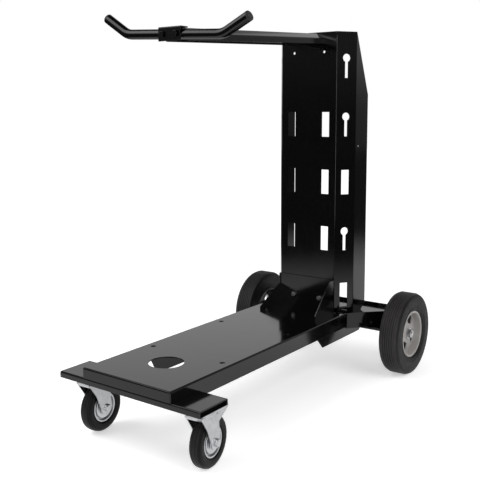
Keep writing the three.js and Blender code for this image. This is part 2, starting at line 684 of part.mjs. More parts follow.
// The open space below the arm's floor, between its walls
function armRecess(halfWidth, top, y) {
  const wall = halfWidth - ARM_SHEET;
  const bottom = top - ARM_CHAMFER_HEIGHT - ARM_SIDE_HEIGHT;
  const ceiling = bottom + ARM_FLOOR_RISE;
  return [
    [-wall, bottom - CUT], [wall, bottom - CUT], [wall, ceiling], [-wall, ceiling],
  ].map(([x, z]) => point(x, y, z));
}

function loft(front, back) {
  const count = front.length;
  const vertices = [...front, ...back].flatMap((v) => v.toArray());
  const faces = [];
  for (let i = 0; i < count; i += 1) {
    const next = (i + 1) % count;
    faces.push(i, next, count + next, i, count + next, count + i);
  }
  for (let i = 1; i < count - 1; i += 1) {
    faces.push(0, i + 1, i, count, count + i, count + i + 1);
  }
  const geometry = new THREE.BufferGeometry();
  geometry.setAttribute('position', new THREE.Float32BufferAttribute(vertices, 3));
  geometry.setIndex(faces);
  return solid(geometry);
}

function supportArm() {
  const frontY = HANDLE_Y + HANDLE_RADIUS + FIT;
  const backY = WEB_Y - FIT;
  const sections = (inset, over) => loft(
    armSection(ARM_HALF_AT_HANDLE, ARM_CHAMFER_AT_HANDLE, ARM_FRONT_TOP, inset, frontY - over),
    armSection(ARM_HALF_AT_COLUMN, ARM_CHAMFER_AT_COLUMN, ARM_BACK_TOP, inset, backY + over));
  const recess = loft(armRecess(ARM_HALF_AT_HANDLE, ARM_FRONT_TOP, frontY - CUT),
    armRecess(ARM_HALF_AT_COLUMN, ARM_BACK_TOP, backY + CUT));
  return cutFrom(sections(0, 0), sections(ARM_SHEET, CUT), recess);
}

// Handle bar, its end caps and the saddle that covers it at the arm

function tiltedHandle(v) {
  const middle = point(0, HANDLE_Y, HANDLE_Z);
  return v.sub(middle).applyAxisAngle(point(0, 1, 0), HANDLE_TILT).add(middle);
}

function handlePath() {
  const half = HANDLE_STRAIGHT / 2;
  const sides = [-1, 1];
  const ends = sides.map((side) => point((side * HANDLE_END_SPAN) / 2, HANDLE_Y, HANDLE_Z + HANDLE_END_RISE));
  const bends = sides.map((side) => point(side * half, HANDLE_Y, HANDLE_Z));
  const rise = ends[1].clone().sub(bends[1]).normalize();
  const reach = HANDLE_BEND_RADIUS * Math.tan(Math.acos(rise.x) / 2);
  const inner = sides.map((side) => point(side * (half - reach), HANDLE_Y, HANDLE_Z));
  const outerZ = HANDLE_Z + reach * rise.z;
  const outer = sides.map((side) => point(side * (half + reach * rise.x), HANDLE_Y, outerZ));
  [...ends, ...bends, ...inner, ...outer].forEach(tiltedHandle);
  const path = new THREE.CurvePath();
  path.add(new THREE.LineCurve3(ends[0], outer[0]));
  path.add(new THREE.QuadraticBezierCurve3(outer[0], bends[0], inner[0]));
  path.add(new THREE.LineCurve3(inner[0], inner[1]));
  path.add(new THREE.QuadraticBezierCurve3(inner[1], bends[1], outer[1]));
  path.add(new THREE.LineCurve3(outer[1], ends[1]));
  return { path, ends, rise };
}

// The points where the tube's rings stand: the ends, the starts and steps of the bends
function handleStations(path) {
  const stations = [];
  path.curves.forEach((curve) => {
    const steps = curve.isLineCurve3 ? 1 : HANDLE_BEND_STEPS;
    for (let i = 0; i < steps; i += 1) stations.push(curve.getPoint(i / steps));
  });
  stations.push(path.getPoint(1));
  return stations;
}

class StationCurve extends THREE.Curve {
  constructor(stations) {
    super();
    this.stations = stations;
  }

  getPoint(t, target = new THREE.Vector3()) {
    const along = t * (this.stations.length - 1);
    const index = Math.min(Math.floor(along), this.stations.length - 2);
    return target.lerpVectors(this.stations[index], this.stations[index + 1], along - index);
  }

  getPointAt(t, target) {
    return this.getPoint(t, target);
  }

  getTangentAt(t, target = new THREE.Vector3()) {
    const index = Math.round(t * (this.stations.length - 1));
    const before = this.stations[Math.max(index - 1, 0)];
    const after = this.stations[Math.min(index + 1, this.stations.length - 1)];
    return target.subVectors(after, before).normalize();
  }
}

function handleBar() {
  const { path } = handlePath();
  const stations = handleStations(path);
  const ring = circleShape(HANDLE_RADIUS, HANDLE_SIDES);
  ring.holes.push(circleShape(HANDLE_RADIUS - HANDLE_WALL, HANDLE_SIDES));
  const tube = solid(new THREE.ExtrudeGeometry(ring, {
    steps: stations.length - 1, bevelEnabled: false, extrudePath: new StationCurve(stations),
  }));
  const holes = [-1, 1].map((side) => rod(BOLT_RADIUS + FIT,
    point((side * SADDLE_BOLT_SPAN) / 2, HANDLE_Y - HANDLE_RADIUS - CUT, HANDLE_Z),
    point((side * SADDLE_BOLT_SPAN) / 2, HANDLE_Y, HANDLE_Z), HOLE_FACES));
  return cutFrom(tube, ...holes);
}

// A cap stands on the tube's end: a domed head outside and a plug inside the bore
function handleCap() {
  const plug = HANDLE_RADIUS - HANDLE_WALL - 2 * FIT;
  const dome = HANDLE_RADIUS;
  const shoulder = CAP_DOME / 2;
  return turnedAboutZ([
    [0, -CAP_PLUG], [plug, -CAP_PLUG], [plug, FIT], [dome, FIT], [dome, shoulder],
    [dome * Math.cos(Math.PI / 6), shoulder + (CAP_DOME - shoulder) / 2],
    [dome * Math.cos(Math.PI / 3), CAP_DOME], [0, CAP_DOME],
  ], HANDLE_SIDES);
}

function handleSaddle() {
  const half = ARM_HALF_AT_HANDLE;
  const inner = HANDLE_Y - HANDLE_RADIUS - FIT;
  const under = HANDLE_Z + HANDLE_RADIUS / Math.cos(HANDLE_TILT) + half * Math.tan(HANDLE_TILT) + FIT;
  const back = HANDLE_Y + HANDLE_RADIUS;
  const top = under + SHEET;
  const section = outline([
    [inner - SHEET, top - SADDLE_HEIGHT], [inner, top - SADDLE_HEIGHT], [inner, under], [back, under],
    [back, top], [inner - SHEET, top, SHEET],
  ]);
  const holes = [-1, 1].map((side) => rod(BOLT_RADIUS + FIT,
    point((side * SADDLE_BOLT_SPAN) / 2, inner - SHEET - CUT, HANDLE_Z),
    point((side * SADDLE_BOLT_SPAN) / 2, inner + CUT, HANDLE_Z), HOLE_FACES));
  return cutFrom(alongX(section, -half, half), ...holes);
}

// Rear wheel, built about its own mid-plane with +X pointing out from the cart

function rearTyre() {
  const wide = REAR_TYRE_WIDTH / 2;
  const bead = REAR_RIM_WIDTH / 2 - SHEET - FIT;
  const seat = REAR_SEAT_RADIUS + FIT;
  const sidewall = REAR_RIM_RADIUS + FIT;
  const halfProfile = [
    [seat, bead], [sidewall, bead], [sidewall + 6, wide - 2], [sidewall + 24, wide],
    [REAR_TYRE_RADIUS - 10, wide], [REAR_TYRE_RADIUS - 2, wide - 2], [REAR_TYRE_RADIUS, wide - 5],
  ];
  const otherHalf = halfProfile.map(([radius, x]) => [radius, -x]).reverse();
  return turnedAboutX([...halfProfile, ...otherHalf], REAR_WHEEL_FACES);
}

function rearRim() {
  const bore = SLEEVE_RADIUS + FIT;
  const edge = REAR_RIM_WIDTH / 2;
  const barrel = REAR_SEAT_RADIUS - SHEET;
  const lip = REAR_RIM_RADIUS - 7;
  const crest = edge - RIM_DISC_CREST_SETBACK;
  const foot = edge - RIM_DISC_SETBACK;
  const body = turnedAboutX([
    [bore, REAR_HUB_OUTER], [REAR_HUB_RADIUS, REAR_HUB_OUTER], [REAR_HUB_RADIUS + 2, crest + 2],
    [RIM_DISC_CREST_RADIUS, crest], [barrel, foot], [barrel, edge - SHEET], [lip, edge],
    [REAR_RIM_RADIUS, edge], [REAR_RIM_RADIUS, edge - SHEET],
    [REAR_SEAT_RADIUS, edge - SHEET], [REAR_SEAT_RADIUS, -edge + SHEET], [REAR_RIM_RADIUS, -edge + SHEET],
    [REAR_RIM_RADIUS, -edge], [barrel, -edge], [barrel, foot - RIM_DISC_WALL],
    [RIM_DISC_CREST_RADIUS, crest - RIM_DISC_WALL], [REAR_HUB_RADIUS + 2, crest + 2 - RIM_DISC_WALL],
    [REAR_HUB_RADIUS, -REAR_HUB_INNER], [bore, -REAR_HUB_INNER],
  ], REAR_WHEEL_FACES);
  const span = THREE.MathUtils.degToRad(RIM_WINDOW_ANGLE) / 2;
  const corner = (radius, angle, fillet) => [radius * Math.cos(angle), radius * Math.sin(angle), fillet];
  const windows = Array.from({ length: RIM_WINDOWS }, (_, i) => {
    const angle = THREE.MathUtils.degToRad(RIM_WINDOW_TURN + (i * 360) / RIM_WINDOWS);
    return alongX(outline([
      corner(RIM_WINDOW_INNER, angle - span, 3), corner(RIM_WINDOW_OUTER, angle - span, 4),
      corner(RIM_WINDOW_OUTER, angle + span, 4), corner(RIM_WINDOW_INNER, angle + span, 3),
    ]), -REAR_TYRE_WIDTH, REAR_TYRE_WIDTH);
  });
  return cutFrom(body, ...windows);
}

function ringAlongX(inner, outer, first, last, faces = ROUND_FACES) {
  return turnedAboutX([[inner, last], [outer, last], [outer, first], [inner, first]], faces);
}

function hexNut(flats, bore, first, last) {
  const nut = circleShape(flats / Math.sqrt(3), 6);
  nut.holes.push(circleShape(bore, HOLE_FACES));
  return alongX(nut, first, last);
}

function rearWheel(side) {
  const wheel = new THREE.Group();
  const name = (piece) => `rear_${side}_${piece}`;
  const inner = -REAR_HUB_INNER;
  addPiece(wheel, name('tyre'), rearTyre(), tyreRubber());
  addPiece(wheel, name('rim'), rearRim(), greyRim());
  const bore = AXLE_RADIUS + FIT;
  const carrierFace = CARRIER_WIDTH / 2 - WHEEL_X;
  const washerEnd = WASHER_SEAT + WASHER_THICKNESS;
  addPiece(wheel, name('sleeve'), ringAlongX(bore, SLEEVE_RADIUS, inner, REAR_HUB_OUTER), bushPlastic());
  const spacer = ringAlongX(bore, bore + SPACER_WALL, carrierFace + FIT, inner - FIT);
  addPiece(wheel, name('spacer'), spacer, blackPaint());
  addPiece(wheel, name('washer'), ringAlongX(bore, WASHER_RADIUS, WASHER_SEAT, washerEnd), zincSteel());
  const nut = hexNut(AXLE_NUT_FLATS, bore, NUT_SEAT, NUT_SEAT + AXLE_NUT_HEIGHT);
  addPiece(wheel, name('nut'), nut, brightSteel());
  wheel.position.set(side === 'right' ? WHEEL_X : -WHEEL_X, AXLE_Y, AXLE_Z);
  wheel.rotation.z = side === 'right' ? 0 : Math.PI;
  return wheel;
}

function rearAxle() {
  const reach = WHEEL_X + AXLE_END;
  return rod(AXLE_RADIUS, point(-reach, AXLE_Y, AXLE_Z), point(reach, AXLE_Y, AXLE_Z));
}

// Caster, built about its kingpin with the wheel trailing towards +Y

function casterTyre() {
  const wide = CASTER_TYRE_WIDTH / 2;
  const bead = CASTER_RIM_WIDTH / 2 - SHEET - FIT;
  const halfProfile = [
    [CASTER_SEAT_RADIUS + FIT, bead], [CASTER_RIM_RADIUS + FIT, bead], [CASTER_RIM_RADIUS + 4, wide - 1],
    [CASTER_TYRE_RADIUS - 9, wide], [CASTER_TYRE_RADIUS - 3, wide - 4], [CASTER_TYRE_RADIUS, wide - 9],
  ];
  const otherHalf = halfProfile.map(([radius, x]) => [radius, -x]).reverse();
  return turnedAboutX([...halfProfile, ...otherHalf], CASTER_WHEEL_FACES);
}

function casterRim() {
  const bore = CASTER_SLEEVE_RADIUS + FIT;
  const edge = CASTER_RIM_WIDTH / 2;
  const hub = CASTER_HUB_WIDTH / 2;
  const halfProfile = [
    [bore, hub], [CASTER_HUB_RADIUS, hub], [CASTER_HUB_RADIUS + 3, edge],
    [CASTER_DISC_RADIUS, edge - 1], [CASTER_DISC_RADIUS + 1, edge - CASTER_GROOVE_DEPTH],
    [CASTER_SEAT_RADIUS - 2, edge - CASTER_GROOVE_DEPTH],
    [CASTER_SEAT_RADIUS, edge], [CASTER_RIM_RADIUS, edge], [CASTER_RIM_RADIUS, edge - SHEET],
    [CASTER_SEAT_RADIUS, edge - SHEET],
  ];
  const otherHalf = halfProfile.map(([radius, x]) => [radius, -x]).reverse();
  return turnedAboutX([...halfProfile, ...otherHalf], CASTER_WHEEL_FACES);
}

function casterFork() {
  const half = FORK_GAP / 2 + FORK_WALL;
  const eyeY = CASTER_TRAIL;
  const eyeFront = eyeY - FORK_EYE_RADIUS;
  const eyeBack = eyeY + FORK_EYE_RADIUS;
  const eyeFoot = CASTER_AXLE_Z - FORK_EYE_RADIUS;
  const eyeTop = CASTER_AXLE_Z + FORK_EYE_RADIUS;
  const crown = FORK_TOP - FORK_WALL;
  const lipY = -FORK_NOSE + FORK_LIP_BACK;
  const lipZ = crown - FORK_LIP_DROP;
  const kneeZ = (eyeTop + lipZ) / 2;
  const cheek = outline([
    [-FORK_NOSE, FORK_TOP], [-FORK_NOSE, crown], [lipY, lipZ], [eyeFront - FORK_KNEE_FRONT, kneeZ],
    [eyeFront - FORK_NECK_FLARE, eyeTop], [eyeFront, eyeFoot, FORK_FOOT_FILLET],
    [eyeBack, eyeFoot, FORK_FOOT_FILLET], [eyeBack, eyeTop], [eyeBack - FORK_WALL, crown - FORK_HEEL_DROP],
    [FORK_TAIL, crown - FORK_TAIL_DROP], [FORK_TAIL, FORK_TOP],
  ]);
  const inside = outline([
    [-FORK_NOSE + 2 * FORK_WALL, crown], [lipY + FORK_WALL, lipZ], [-FORK_NOSE - CUT, lipZ],
    [-FORK_NOSE - CUT, 0], [FORK_TAIL + CUT, 0], [FORK_TAIL + CUT, crown],
  ]);
  const pressing = alongX(cheek, -half, half).subtract(alongX(inside, -FORK_GAP / 2, FORK_GAP / 2));
  const boltHole = rod(CASTER_BOLT_RADIUS + FIT, point(-half - CUT, eyeY, CASTER_AXLE_Z),
    point(half + CUT, eyeY, CASTER_AXLE_Z), HOLE_FACES);
  const pinHole = rod(KINGPIN_RADIUS + FIT, point(0, 0, crown - CUT), point(0, 0, FORK_TOP + CUT));
  return cutFrom(pressing, boltHole, pinHole);
}

function casterPlate() {
  const plate = rectangle(PLATE_LENGTH, PLATE_WIDTH);
  const flat = alongZ(plate, PLATE_TOP - SHEET, PLATE_TOP);
  const boss = rod(PLATE_BOSS_RADIUS, point(0, 0, BOSS_FOOT), point(0, 0, PLATE_TOP - SHEET / 2));
  const pinHole = rod(KINGPIN_RADIUS + FIT, point(0, 0, BOSS_FOOT - CUT), point(0, 0, PLATE_TOP + CUT));
  return flat.add(boss).subtract(pinHole);
}

function casterRace() {
  const foot = FORK_TOP + FIT;
  const waist = RACE_RADIUS - 3;
  return turnedAboutZ([
    [KINGPIN_RADIUS + FIT, foot], [RACE_RADIUS, foot], [RACE_RADIUS, foot + RACE_HEIGHT / 2],
    [waist, foot + RACE_HEIGHT], [KINGPIN_RADIUS + FIT, foot + RACE_HEIGHT],
  ], ROUND_FACES);
}

function kingpin() {
  const seat = FORK_TOP - FORK_WALL - FIT;
  return turnedAboutZ([
    [0, seat - KINGPIN_HEAD_HEIGHT], [KINGPIN_HEAD_RADIUS, seat - KINGPIN_HEAD_HEIGHT],
    [KINGPIN_HEAD_RADIUS, seat], [KINGPIN_RADIUS, seat],
    [KINGPIN_RADIUS, PLATE_TOP - FIT], [0, PLATE_TOP - FIT],
  ], ROUND_FACES);
}

// Where the bolt's head and the nut bear on the outside of the fork
const FORK_SIDE = FORK_GAP / 2 + FORK_WALL + FIT;

function casterAxleBolt() {
  const end = FORK_SIDE + NUT_HEIGHT + THREAD_END;
  const shank = rod(CASTER_BOLT_RADIUS, point(-end, 0, 0), point(FORK_SIDE + 1, 0, 0), 12);
  const head = alongX(circleShape(CASTER_NUT_FLATS / Math.sqrt(3), 6), FORK_SIDE, FORK_SIDE + NUT_HEIGHT);
  return shank.add(head);
}

function caster(side) {
  const group = new THREE.Group();
  const name = (piece) => `caster_${side}_${piece}`;
  const hub = CASTER_HUB_WIDTH / 2;
  const bore = CASTER_BOLT_RADIUS + FIT;
  addPiece(group, name('race'), casterRace(), zincSteel());
  addPiece(group, name('kingpin'), kingpin(), zincSteel());
  addPiece(group, name('fork'), casterFork(), zincSteel());
  const wheel = new THREE.Group();
  addPiece(wheel, name('tyre'), casterTyre(), tyreRubber());
  addPiece(wheel, name('rim'), casterRim(), zincSteel());
  addPiece(wheel, name('sleeve'), ringAlongX(bore, CASTER_SLEEVE_RADIUS, -hub, hub), brightSteel());
  addPiece(wheel, name('axle_bolt'), casterAxleBolt(), zincSteel());
  const nut = hexNut(CASTER_NUT_FLATS, bore, -FORK_SIDE - NUT_HEIGHT, -FORK_SIDE);
  addPiece(wheel, name('axle_nut'), nut, zincSteel());
  wheel.position.set(0, CASTER_TRAIL, CASTER_AXLE_Z);
  group.add(wheel);
  group.position.set(side === 'right' ? CASTER_X : -CASTER_X, CASTER_Y, 0);
  group.rotation.z = THREE.MathUtils.degToRad(CASTER_TURN[side]);
  return group;
}

// Bolts, nuts, handle caps and caster plates of one side of the frame

function addFasteners(frame, side, sign) {
  const forward = point(0, -1, 0);
  const saddleFace = HANDLE_Y - HANDLE_RADIUS - FIT - SHEET - FIT;
  const saddleSeat = point((sign * SADDLE_BOLT_SPAN) / 2, saddleFace, HANDLE_Z);
  const saddleGrip = SHEET + HANDLE_WALL + 2 * FIT;
  const saddleBolt = hexBolt(saddleGrip + THREAD_END);
  addPiece(frame, `handle_bolt_${side}`, placed(saddleBolt, forward, saddleSeat), blackPaint());

  const shoeGrip = 2 * SHEET + 3 * FIT;
  const shoeSeat = point((sign * SHOE_BOLT_SPAN) / 2, WEB_Y - SHEET - 2 * FIT, SHOE_BOLT_Z);
  const shoeShank = shoeGrip + NUT_HEIGHT + THREAD_END;
  addPiece(frame, `shoe_bolt_${side}`, placed(hexBolt(shoeShank), forward, shoeSeat), zincSteel());
  const shoeNut = boltNut(-shoeGrip - NUT_HEIGHT);
  addPiece(frame, `shoe_nut_${side}`, placed(shoeNut, forward, shoeSeat), zincSteel());

  const { seat, out } = trayBoltSeat(sign);
  const traySeat = seat.addScaledVector(out, FIT);
  const trayGrip = SHEET + 2 * FIT;
  const trayShank = trayGrip + NUT_HEIGHT + THREAD_END;
  addPiece(frame, `tray_bolt_${side}`, placed(hexBolt(trayShank), out, traySeat), blackPaint());
  addPiece(frame, `tray_nut_${side}`, placed(boltNut(-trayGrip - NUT_HEIGHT), out, traySeat), blackPaint());

  const { ends, rise } = handlePath();
  const outwards = rise.clone().setX(sign * rise.x).applyAxisAngle(point(0, 1, 0), HANDLE_TILT);
  const tubeEnd = ends[sign < 0 ? 0 : 1];
  addPiece(frame, `handle_cap_${side}`, placed(handleCap(), outwards, tubeEnd), blackPlastic());
  addPiece(frame, `caster_${side}_plate`, moved(casterPlate(), sign * CASTER_X, CASTER_Y, 0), blackPaint());
}

// The whole cart

function frameParts() {
  const frame = new THREE.Group();
  addPiece(frame, 'deck_pan', deckPan(), blackPaint());
  addPiece(frame, 'deck_rib_left', deckRib(-1), blackPaint());
  addPiece(frame, 'deck_rib_right', deckRib(1), blackPaint());
  addPiece(frame, 'caster_channel', casterChannel(), blackPaint());
  addPiece(frame, 'column', column(), blackPaint());
  addPiece(frame, 'column_shoe', columnShoe(), blackPaint());
  addPiece(frame, 'cylinder_tray', cylinderTray(), blackPaint());
  addPiece(frame, 'axle_carrier', axleCarrier(), blackPaint());
  addPiece(frame, 'rear_axle', rearAxle(), brightSteel());
  addPiece(frame, 'support_arm', supportArm(), blackPaint());
  addPiece(frame, 'handle_bar', handleBar(), blackPaint());
  addPiece(frame, 'handle_saddle', handleSaddle(), blackPaint());
  ['left', 'right'].forEach((side, i) => addFasteners(frame, side, i === 0 ? -1 : 1));
  return frame;
}

const cart = new THREE.Group();
cart.add(frameParts());
for (const side of ['left', 'right']) {
  cart.add(rearWheel(side));
  cart.add(caster(side));
}
cart.position.y = -CENTRE_Y;
cart.updateMatrixWorld(true);

export default cart;
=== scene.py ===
"""Looks of a welding cart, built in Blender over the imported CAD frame."""

import logging
import math
from dataclasses import dataclass, field
from enum import Enum
from typing import Sequence

import bmesh
import bpy
from mathutils import Matrix, Vector


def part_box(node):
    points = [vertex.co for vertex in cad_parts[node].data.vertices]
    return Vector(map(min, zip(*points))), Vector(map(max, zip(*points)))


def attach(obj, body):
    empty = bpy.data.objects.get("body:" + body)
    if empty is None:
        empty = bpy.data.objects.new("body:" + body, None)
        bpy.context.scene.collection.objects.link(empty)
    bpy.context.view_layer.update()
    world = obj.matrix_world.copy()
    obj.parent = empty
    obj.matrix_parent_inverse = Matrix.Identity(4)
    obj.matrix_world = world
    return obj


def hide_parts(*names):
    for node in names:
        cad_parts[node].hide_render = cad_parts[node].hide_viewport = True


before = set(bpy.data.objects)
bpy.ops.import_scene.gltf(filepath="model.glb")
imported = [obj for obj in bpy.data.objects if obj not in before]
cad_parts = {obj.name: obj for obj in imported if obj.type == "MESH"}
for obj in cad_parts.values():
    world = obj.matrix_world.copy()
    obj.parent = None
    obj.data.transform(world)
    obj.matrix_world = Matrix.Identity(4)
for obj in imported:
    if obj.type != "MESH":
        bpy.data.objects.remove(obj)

log = logging.getLogger("welding_cart")

MM = 0.001
SHEET = 3.0 * MM
AXLE_RADIUS = 8.0 * MM
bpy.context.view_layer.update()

Colour = tuple[float, float, float]
Pair = tuple[float, float]


class Side(Enum):
    """The two sides of the cart, named as someone at the caster end sees them."""

    LEFT = "left"
    RIGHT = "right"

    @property
    def sign(self) -> int:
        """Returns -1 on the left and 1 on the right."""
        return -1 if self is Side.LEFT else 1


class Slot(Enum):
    """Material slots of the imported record."""

    BLACK_PAINT = "black_paint"
    ZINC_STEEL = "zinc_steel"
    BRIGHT_STEEL = "bright_steel"
    RIM_GREY = "rim_grey"
    REAR_TYRE = "rear_tyre"
    CASTER_TYRE = "caster_tyre"
    CAP_PLASTIC = "cap_plastic"
    BUSH_PLASTIC = "bush_plastic"


# Finishes


class Graph:
    """A small helper that adds and links shader nodes."""

    def __init__(self, tree: bpy.types.NodeTree) -> None:
        """Empties the tree.

        Args:
            tree: the node tree to fill.
        """
        self.tree = tree
        tree.nodes.clear()

    def add(self, kind: str, **inputs: object) -> bpy.types.Node:
        """Adds a node.

        Args:
            kind: the node's type.
            inputs: constants for its sockets, with underscores for spaces.

        Returns:
            The new node.
        """
        node = self.tree.nodes.new(kind)
        for name, value in inputs.items():
            node.inputs[name.replace("_", " ")].default_value = value
        return node

    def link(self, source: bpy.types.NodeSocket, target: bpy.types.NodeSocket) -> None:
        """Links one socket to another."""
        self.tree.links.new(source, target)

    def ramp(self, factor: bpy.types.NodeSocket, stops: Sequence[tuple[float, Colour]]) -> bpy.types.NodeSocket:
        """Adds a colour ramp.

        Args:
            factor: what drives the ramp.
            stops: positions and colours, in order.

        Returns:
            The ramp's colour socket.
        """
        node = self.add("ShaderNodeValToRGB")
        elements = node.color_ramp.elements
        for place, _ in stops[2:]:
            elements.new(place)
        for element, (place, colour) in zip(elements, stops):
            element.position = place
            element.color = (*colour, 1.0)
        self.link(factor, node.inputs["Fac"])
        return node.outputs["Color"]

    def spread(self, factor: bpy.types.NodeSocket, low: float, high: float) -> bpy.types.NodeSocket:
        """Maps the middle of a noise to a range.

        Args:
            factor: the noise.
            low: the value at the noise's low end.
            high: the value at its high end.

        Returns:
            The mapped value's socket.
        """
        node = self.add("ShaderNodeMapRange", From_Min=0.3, From_Max=0.7, To_Min=low, To_Max=high)
        self.link(factor, node.inputs["Value"])
        return node.outputs["Result"]


@dataclass(frozen=True)
class Finish:
    """A procedural surface: colour and gloss drift with noise over a fine bumpy grain, with painted shade or painted
    light toned in where a finish asks for it.
    """

    slot: Slot
    dark: Colour
    light: Colour
    gloss: Pair
    patch_scale: float
    grain_scale: float
    grain_depth: float
    metallic: float = 0.0
    ior: float = 1.5
    stretch: Colour = (1.0, 1.0, 1.0)
    # Painted shade: the reach from the cart's middle along X within which the colour is darkened to 4 %.
    painted_shade_within: float = 0.0
    # Painted light: how much lighter the colour is where the surface faces across the X axis, as on a tyre's tread.
    crown: float = 1.0

    def material(self) -> bpy.types.Material:
        """Builds the node material.

        Returns:
            The new material.
        """
        made = bpy.data.materials.new(f"{self.slot.value}_look")
        made.use_nodes = True
        graph = Graph(made.node_tree)
        place = graph.add("ShaderNodeTexCoord").outputs["Object"]
        patches = graph.add("ShaderNodeTexNoise", Scale=self.patch_scale, Detail=6.0, Roughness=0.6)
        smears = graph.add("ShaderNodeTexNoise", Scale=self.patch_scale * 3.3, Detail=4.0, Roughness=0.55)
        drawn = graph.add("ShaderNodeMapping", Scale=self.stretch)
        grain = graph.add("ShaderNodeTexNoise", Scale=self.grain_scale, Detail=2.0, Roughness=0.5)
        bump = graph.add("ShaderNodeBump", Strength=1.0, Distance=self.grain_depth)
        shader = graph.add("ShaderNodeBsdfPrincipled", Metallic=self.metallic, IOR=self.ior)
        output = graph.add("ShaderNodeOutputMaterial")
        graph.link(place, patches.inputs["Vector"])
        graph.link(place, smears.inputs["Vector"])
        graph.link(place, drawn.inputs["Vector"])
        graph.link(drawn.outputs["Vector"], grain.inputs["Vector"])
        graph.link(grain.outputs["Fac"], bump.inputs["Height"])
        colour = graph.ramp(patches.outputs["Fac"], [(0.3, self.dark), (0.7, self.light)])
        # Painted shade: the colour drops to 4 % within the given reach of the cart's middle, darkening the inside of
        # the rear rims.
        if self.painted_shade_within:
            colour = self.toned(graph, colour, place, (self.painted_shade_within - MM, self.painted_shade_within + MM), (0.04, 1.0))
        # Painted light: treads, whose normals run across the X axis, are lightened by this factor, fading to the plain
        # colour on the sidewalls.
        if self.crown != 1.0:
            facing = graph.add("ShaderNodeTexCoord").outputs["Normal"]
            colour = self.toned(graph, colour, facing, (0.3, 0.8), (self.crown, 1.0))
        graph.link(colour, shader.inputs["Base Color"])
        graph.link(graph.spread(smears.outputs["Fac"], *self.gloss), shader.inputs["Roughness"])
        graph.link(bump.outputs["Normal"], shader.inputs["Normal"])
        graph.link(shader.outputs["BSDF"], output.inputs["Surface"])
        return made

    def toned(self, graph: Graph, colour: bpy.types.NodeSocket, vector: bpy.types.NodeSocket, reach: Pair,
              tones: Pair) -> bpy.types.NodeSocket:
        """Paints shade or light into a colour by how far a vector reaches along the wheels' axles.

        Args:
            graph: the finish's shader nodes.
            colour: the colour to tone.
            vector: a place or a normal.
            reach: the reaches along X between which the tone changes.
            tones: the colour's strength up to the first reach and from the second.

        Returns:
            The socket of the toned colour.
        """
        split = graph.add("ShaderNodeSeparateXYZ")
        along = graph.add("ShaderNodeMath")
        along.operation = "ABSOLUTE"
        tone = graph.add("ShaderNodeMapRange", From_Min=reach[0], From_Max=reach[1], To_Min=tones[0], To_Max=tones[1])
        scaled = graph.add("ShaderNodeVectorMath")
        scaled.operation = "SCALE"
        graph.link(vector, split.inputs["Vector"])
        graph.link(split.outputs["X"], along.inputs[0])
        graph.link(along.outputs["Value"], tone.inputs["Value"])
        graph.link(colour, scaled.inputs[0])
        graph.link(tone.outputs["Result"], scaled.inputs["Scale"])
        return scaled.outputs["Vector"]


FINISHES: tuple[Finish, ...] = (
    Finish(Slot.BLACK_PAINT, (0.0010, 0.0010, 0.0011), (0.0018, 0.0018, 0.0019), (0.09, 0.14), 7.0, 620.0, 5e-6),
    Finish(Slot.ZINC_STEEL, (0.56, 0.57, 0.59), (0.70, 0.71, 0.72), (0.26, 0.40), 60.0, 900.0, 1.2e-5, 1.0),
    Finish(Slot.BRIGHT_STEEL, (0.52, 0.52, 0.53), (0.66, 0.66, 0.67), (0.22, 0.34), 80.0, 1400.0, 8e-6, 1.0,
           stretch=(0.15, 1.0, 1.0)),
    # The rim grey carries painted shade on the barrel's inner half, towards the cart.
    Finish(Slot.RIM_GREY, (0.32, 0.305, 0.295), (0.38, 0.365, 0.355), (0.40, 0.52), 22.0, 500.0, 1.5e-5,
           painted_shade_within=271.5 * MM),
    # Both tyres have painted light: their treads are lightened over their sidewalls.
    Finish(Slot.REAR_TYRE, (0.0070, 0.0064, 0.0064), (0.0115, 0.0106, 0.0106), (0.46, 0.58), 18.0, 900.0, 6e-5,
           ior=1.34, crown=3.0),
    Finish(Slot.CASTER_TYRE, (0.0040, 0.0036, 0.0036), (0.0065, 0.0060, 0.0060), (0.34, 0.46), 30.0, 800.0, 3e-5,
           ior=1.25, crown=3.2),
    Finish(Slot.CAP_PLASTIC, (0.016, 0.016, 0.017), (0.024, 0.024, 0.025), (0.45, 0.58), 60.0, 1500.0, 2e-5),
    Finish(Slot.BUSH_PLASTIC, (0.035, 0.036, 0.038), (0.055, 0.056, 0.06), (0.42, 0.56), 70.0, 1200.0, 2e-5),
)


@dataclass
class Palette:
    """One material per finish, made when it is first asked for."""

    made: dict[Slot, bpy.types.Material] = field(default_factory=dict)

    def get(self, slot: Slot) -> bpy.types.Material:
        """Returns the slot's material."""
        if slot not in self.made:
            finish = next(finish for finish in FINISHES if finish.slot is slot)
            self.made[slot] = finish.material()
        return self.made[slot]


# Mesh makers


def filleted(corners: Sequence[Sequence[float]], steps: int = 4) -> list[Pair]:
    """Rounds the inner corners of an open outline.

    Args:
        corners: (a, b) or (a, b, radius) corners.
        steps: points per rounded corner.

    Returns:
        The outline's points.
    """
    points: list[Pair] = []
    for index, corner in enumerate(corners):
        here = Vector(corner[:2])
        radius = corner[2] if len(corner) > 2 else 0.0
        if radius == 0.0 or index in (0, len(corners) - 1):
            points.append((here.x, here.y))
            continue
        back = (Vector(corners[index - 1][:2]) - here).normalized()
        ahead = (Vector(corners[index + 1][:2]) - here).normalized()
        half = back.angle(ahead) / 2
        reach = radius / math.tan(half)
        for step in range(steps + 1):
            share = step / steps
            start, end = here + back * reach, here + ahead * reach
            points.append(tuple(start * (1 - share) ** 2 + here * 2 * share * (1 - share) + end * share**2))
    return points


def joined(mesh: bmesh.types.BMesh, first: Sequence[bmesh.types.BMVert], last: Sequence[bmesh.types.BMVert]) -> None:
    """Joins two closed rings of vertices with faces; a ring of one vertex is a point."""
    count = max(len(first), len(last))
    for index in range(count):
        after = (index + 1) % count
        ring = [first[index % len(first)], first[after % len(first)], last[after % len(last)], last[index % len(last)]]
        mesh.faces.new(list(dict.fromkeys(ring)))


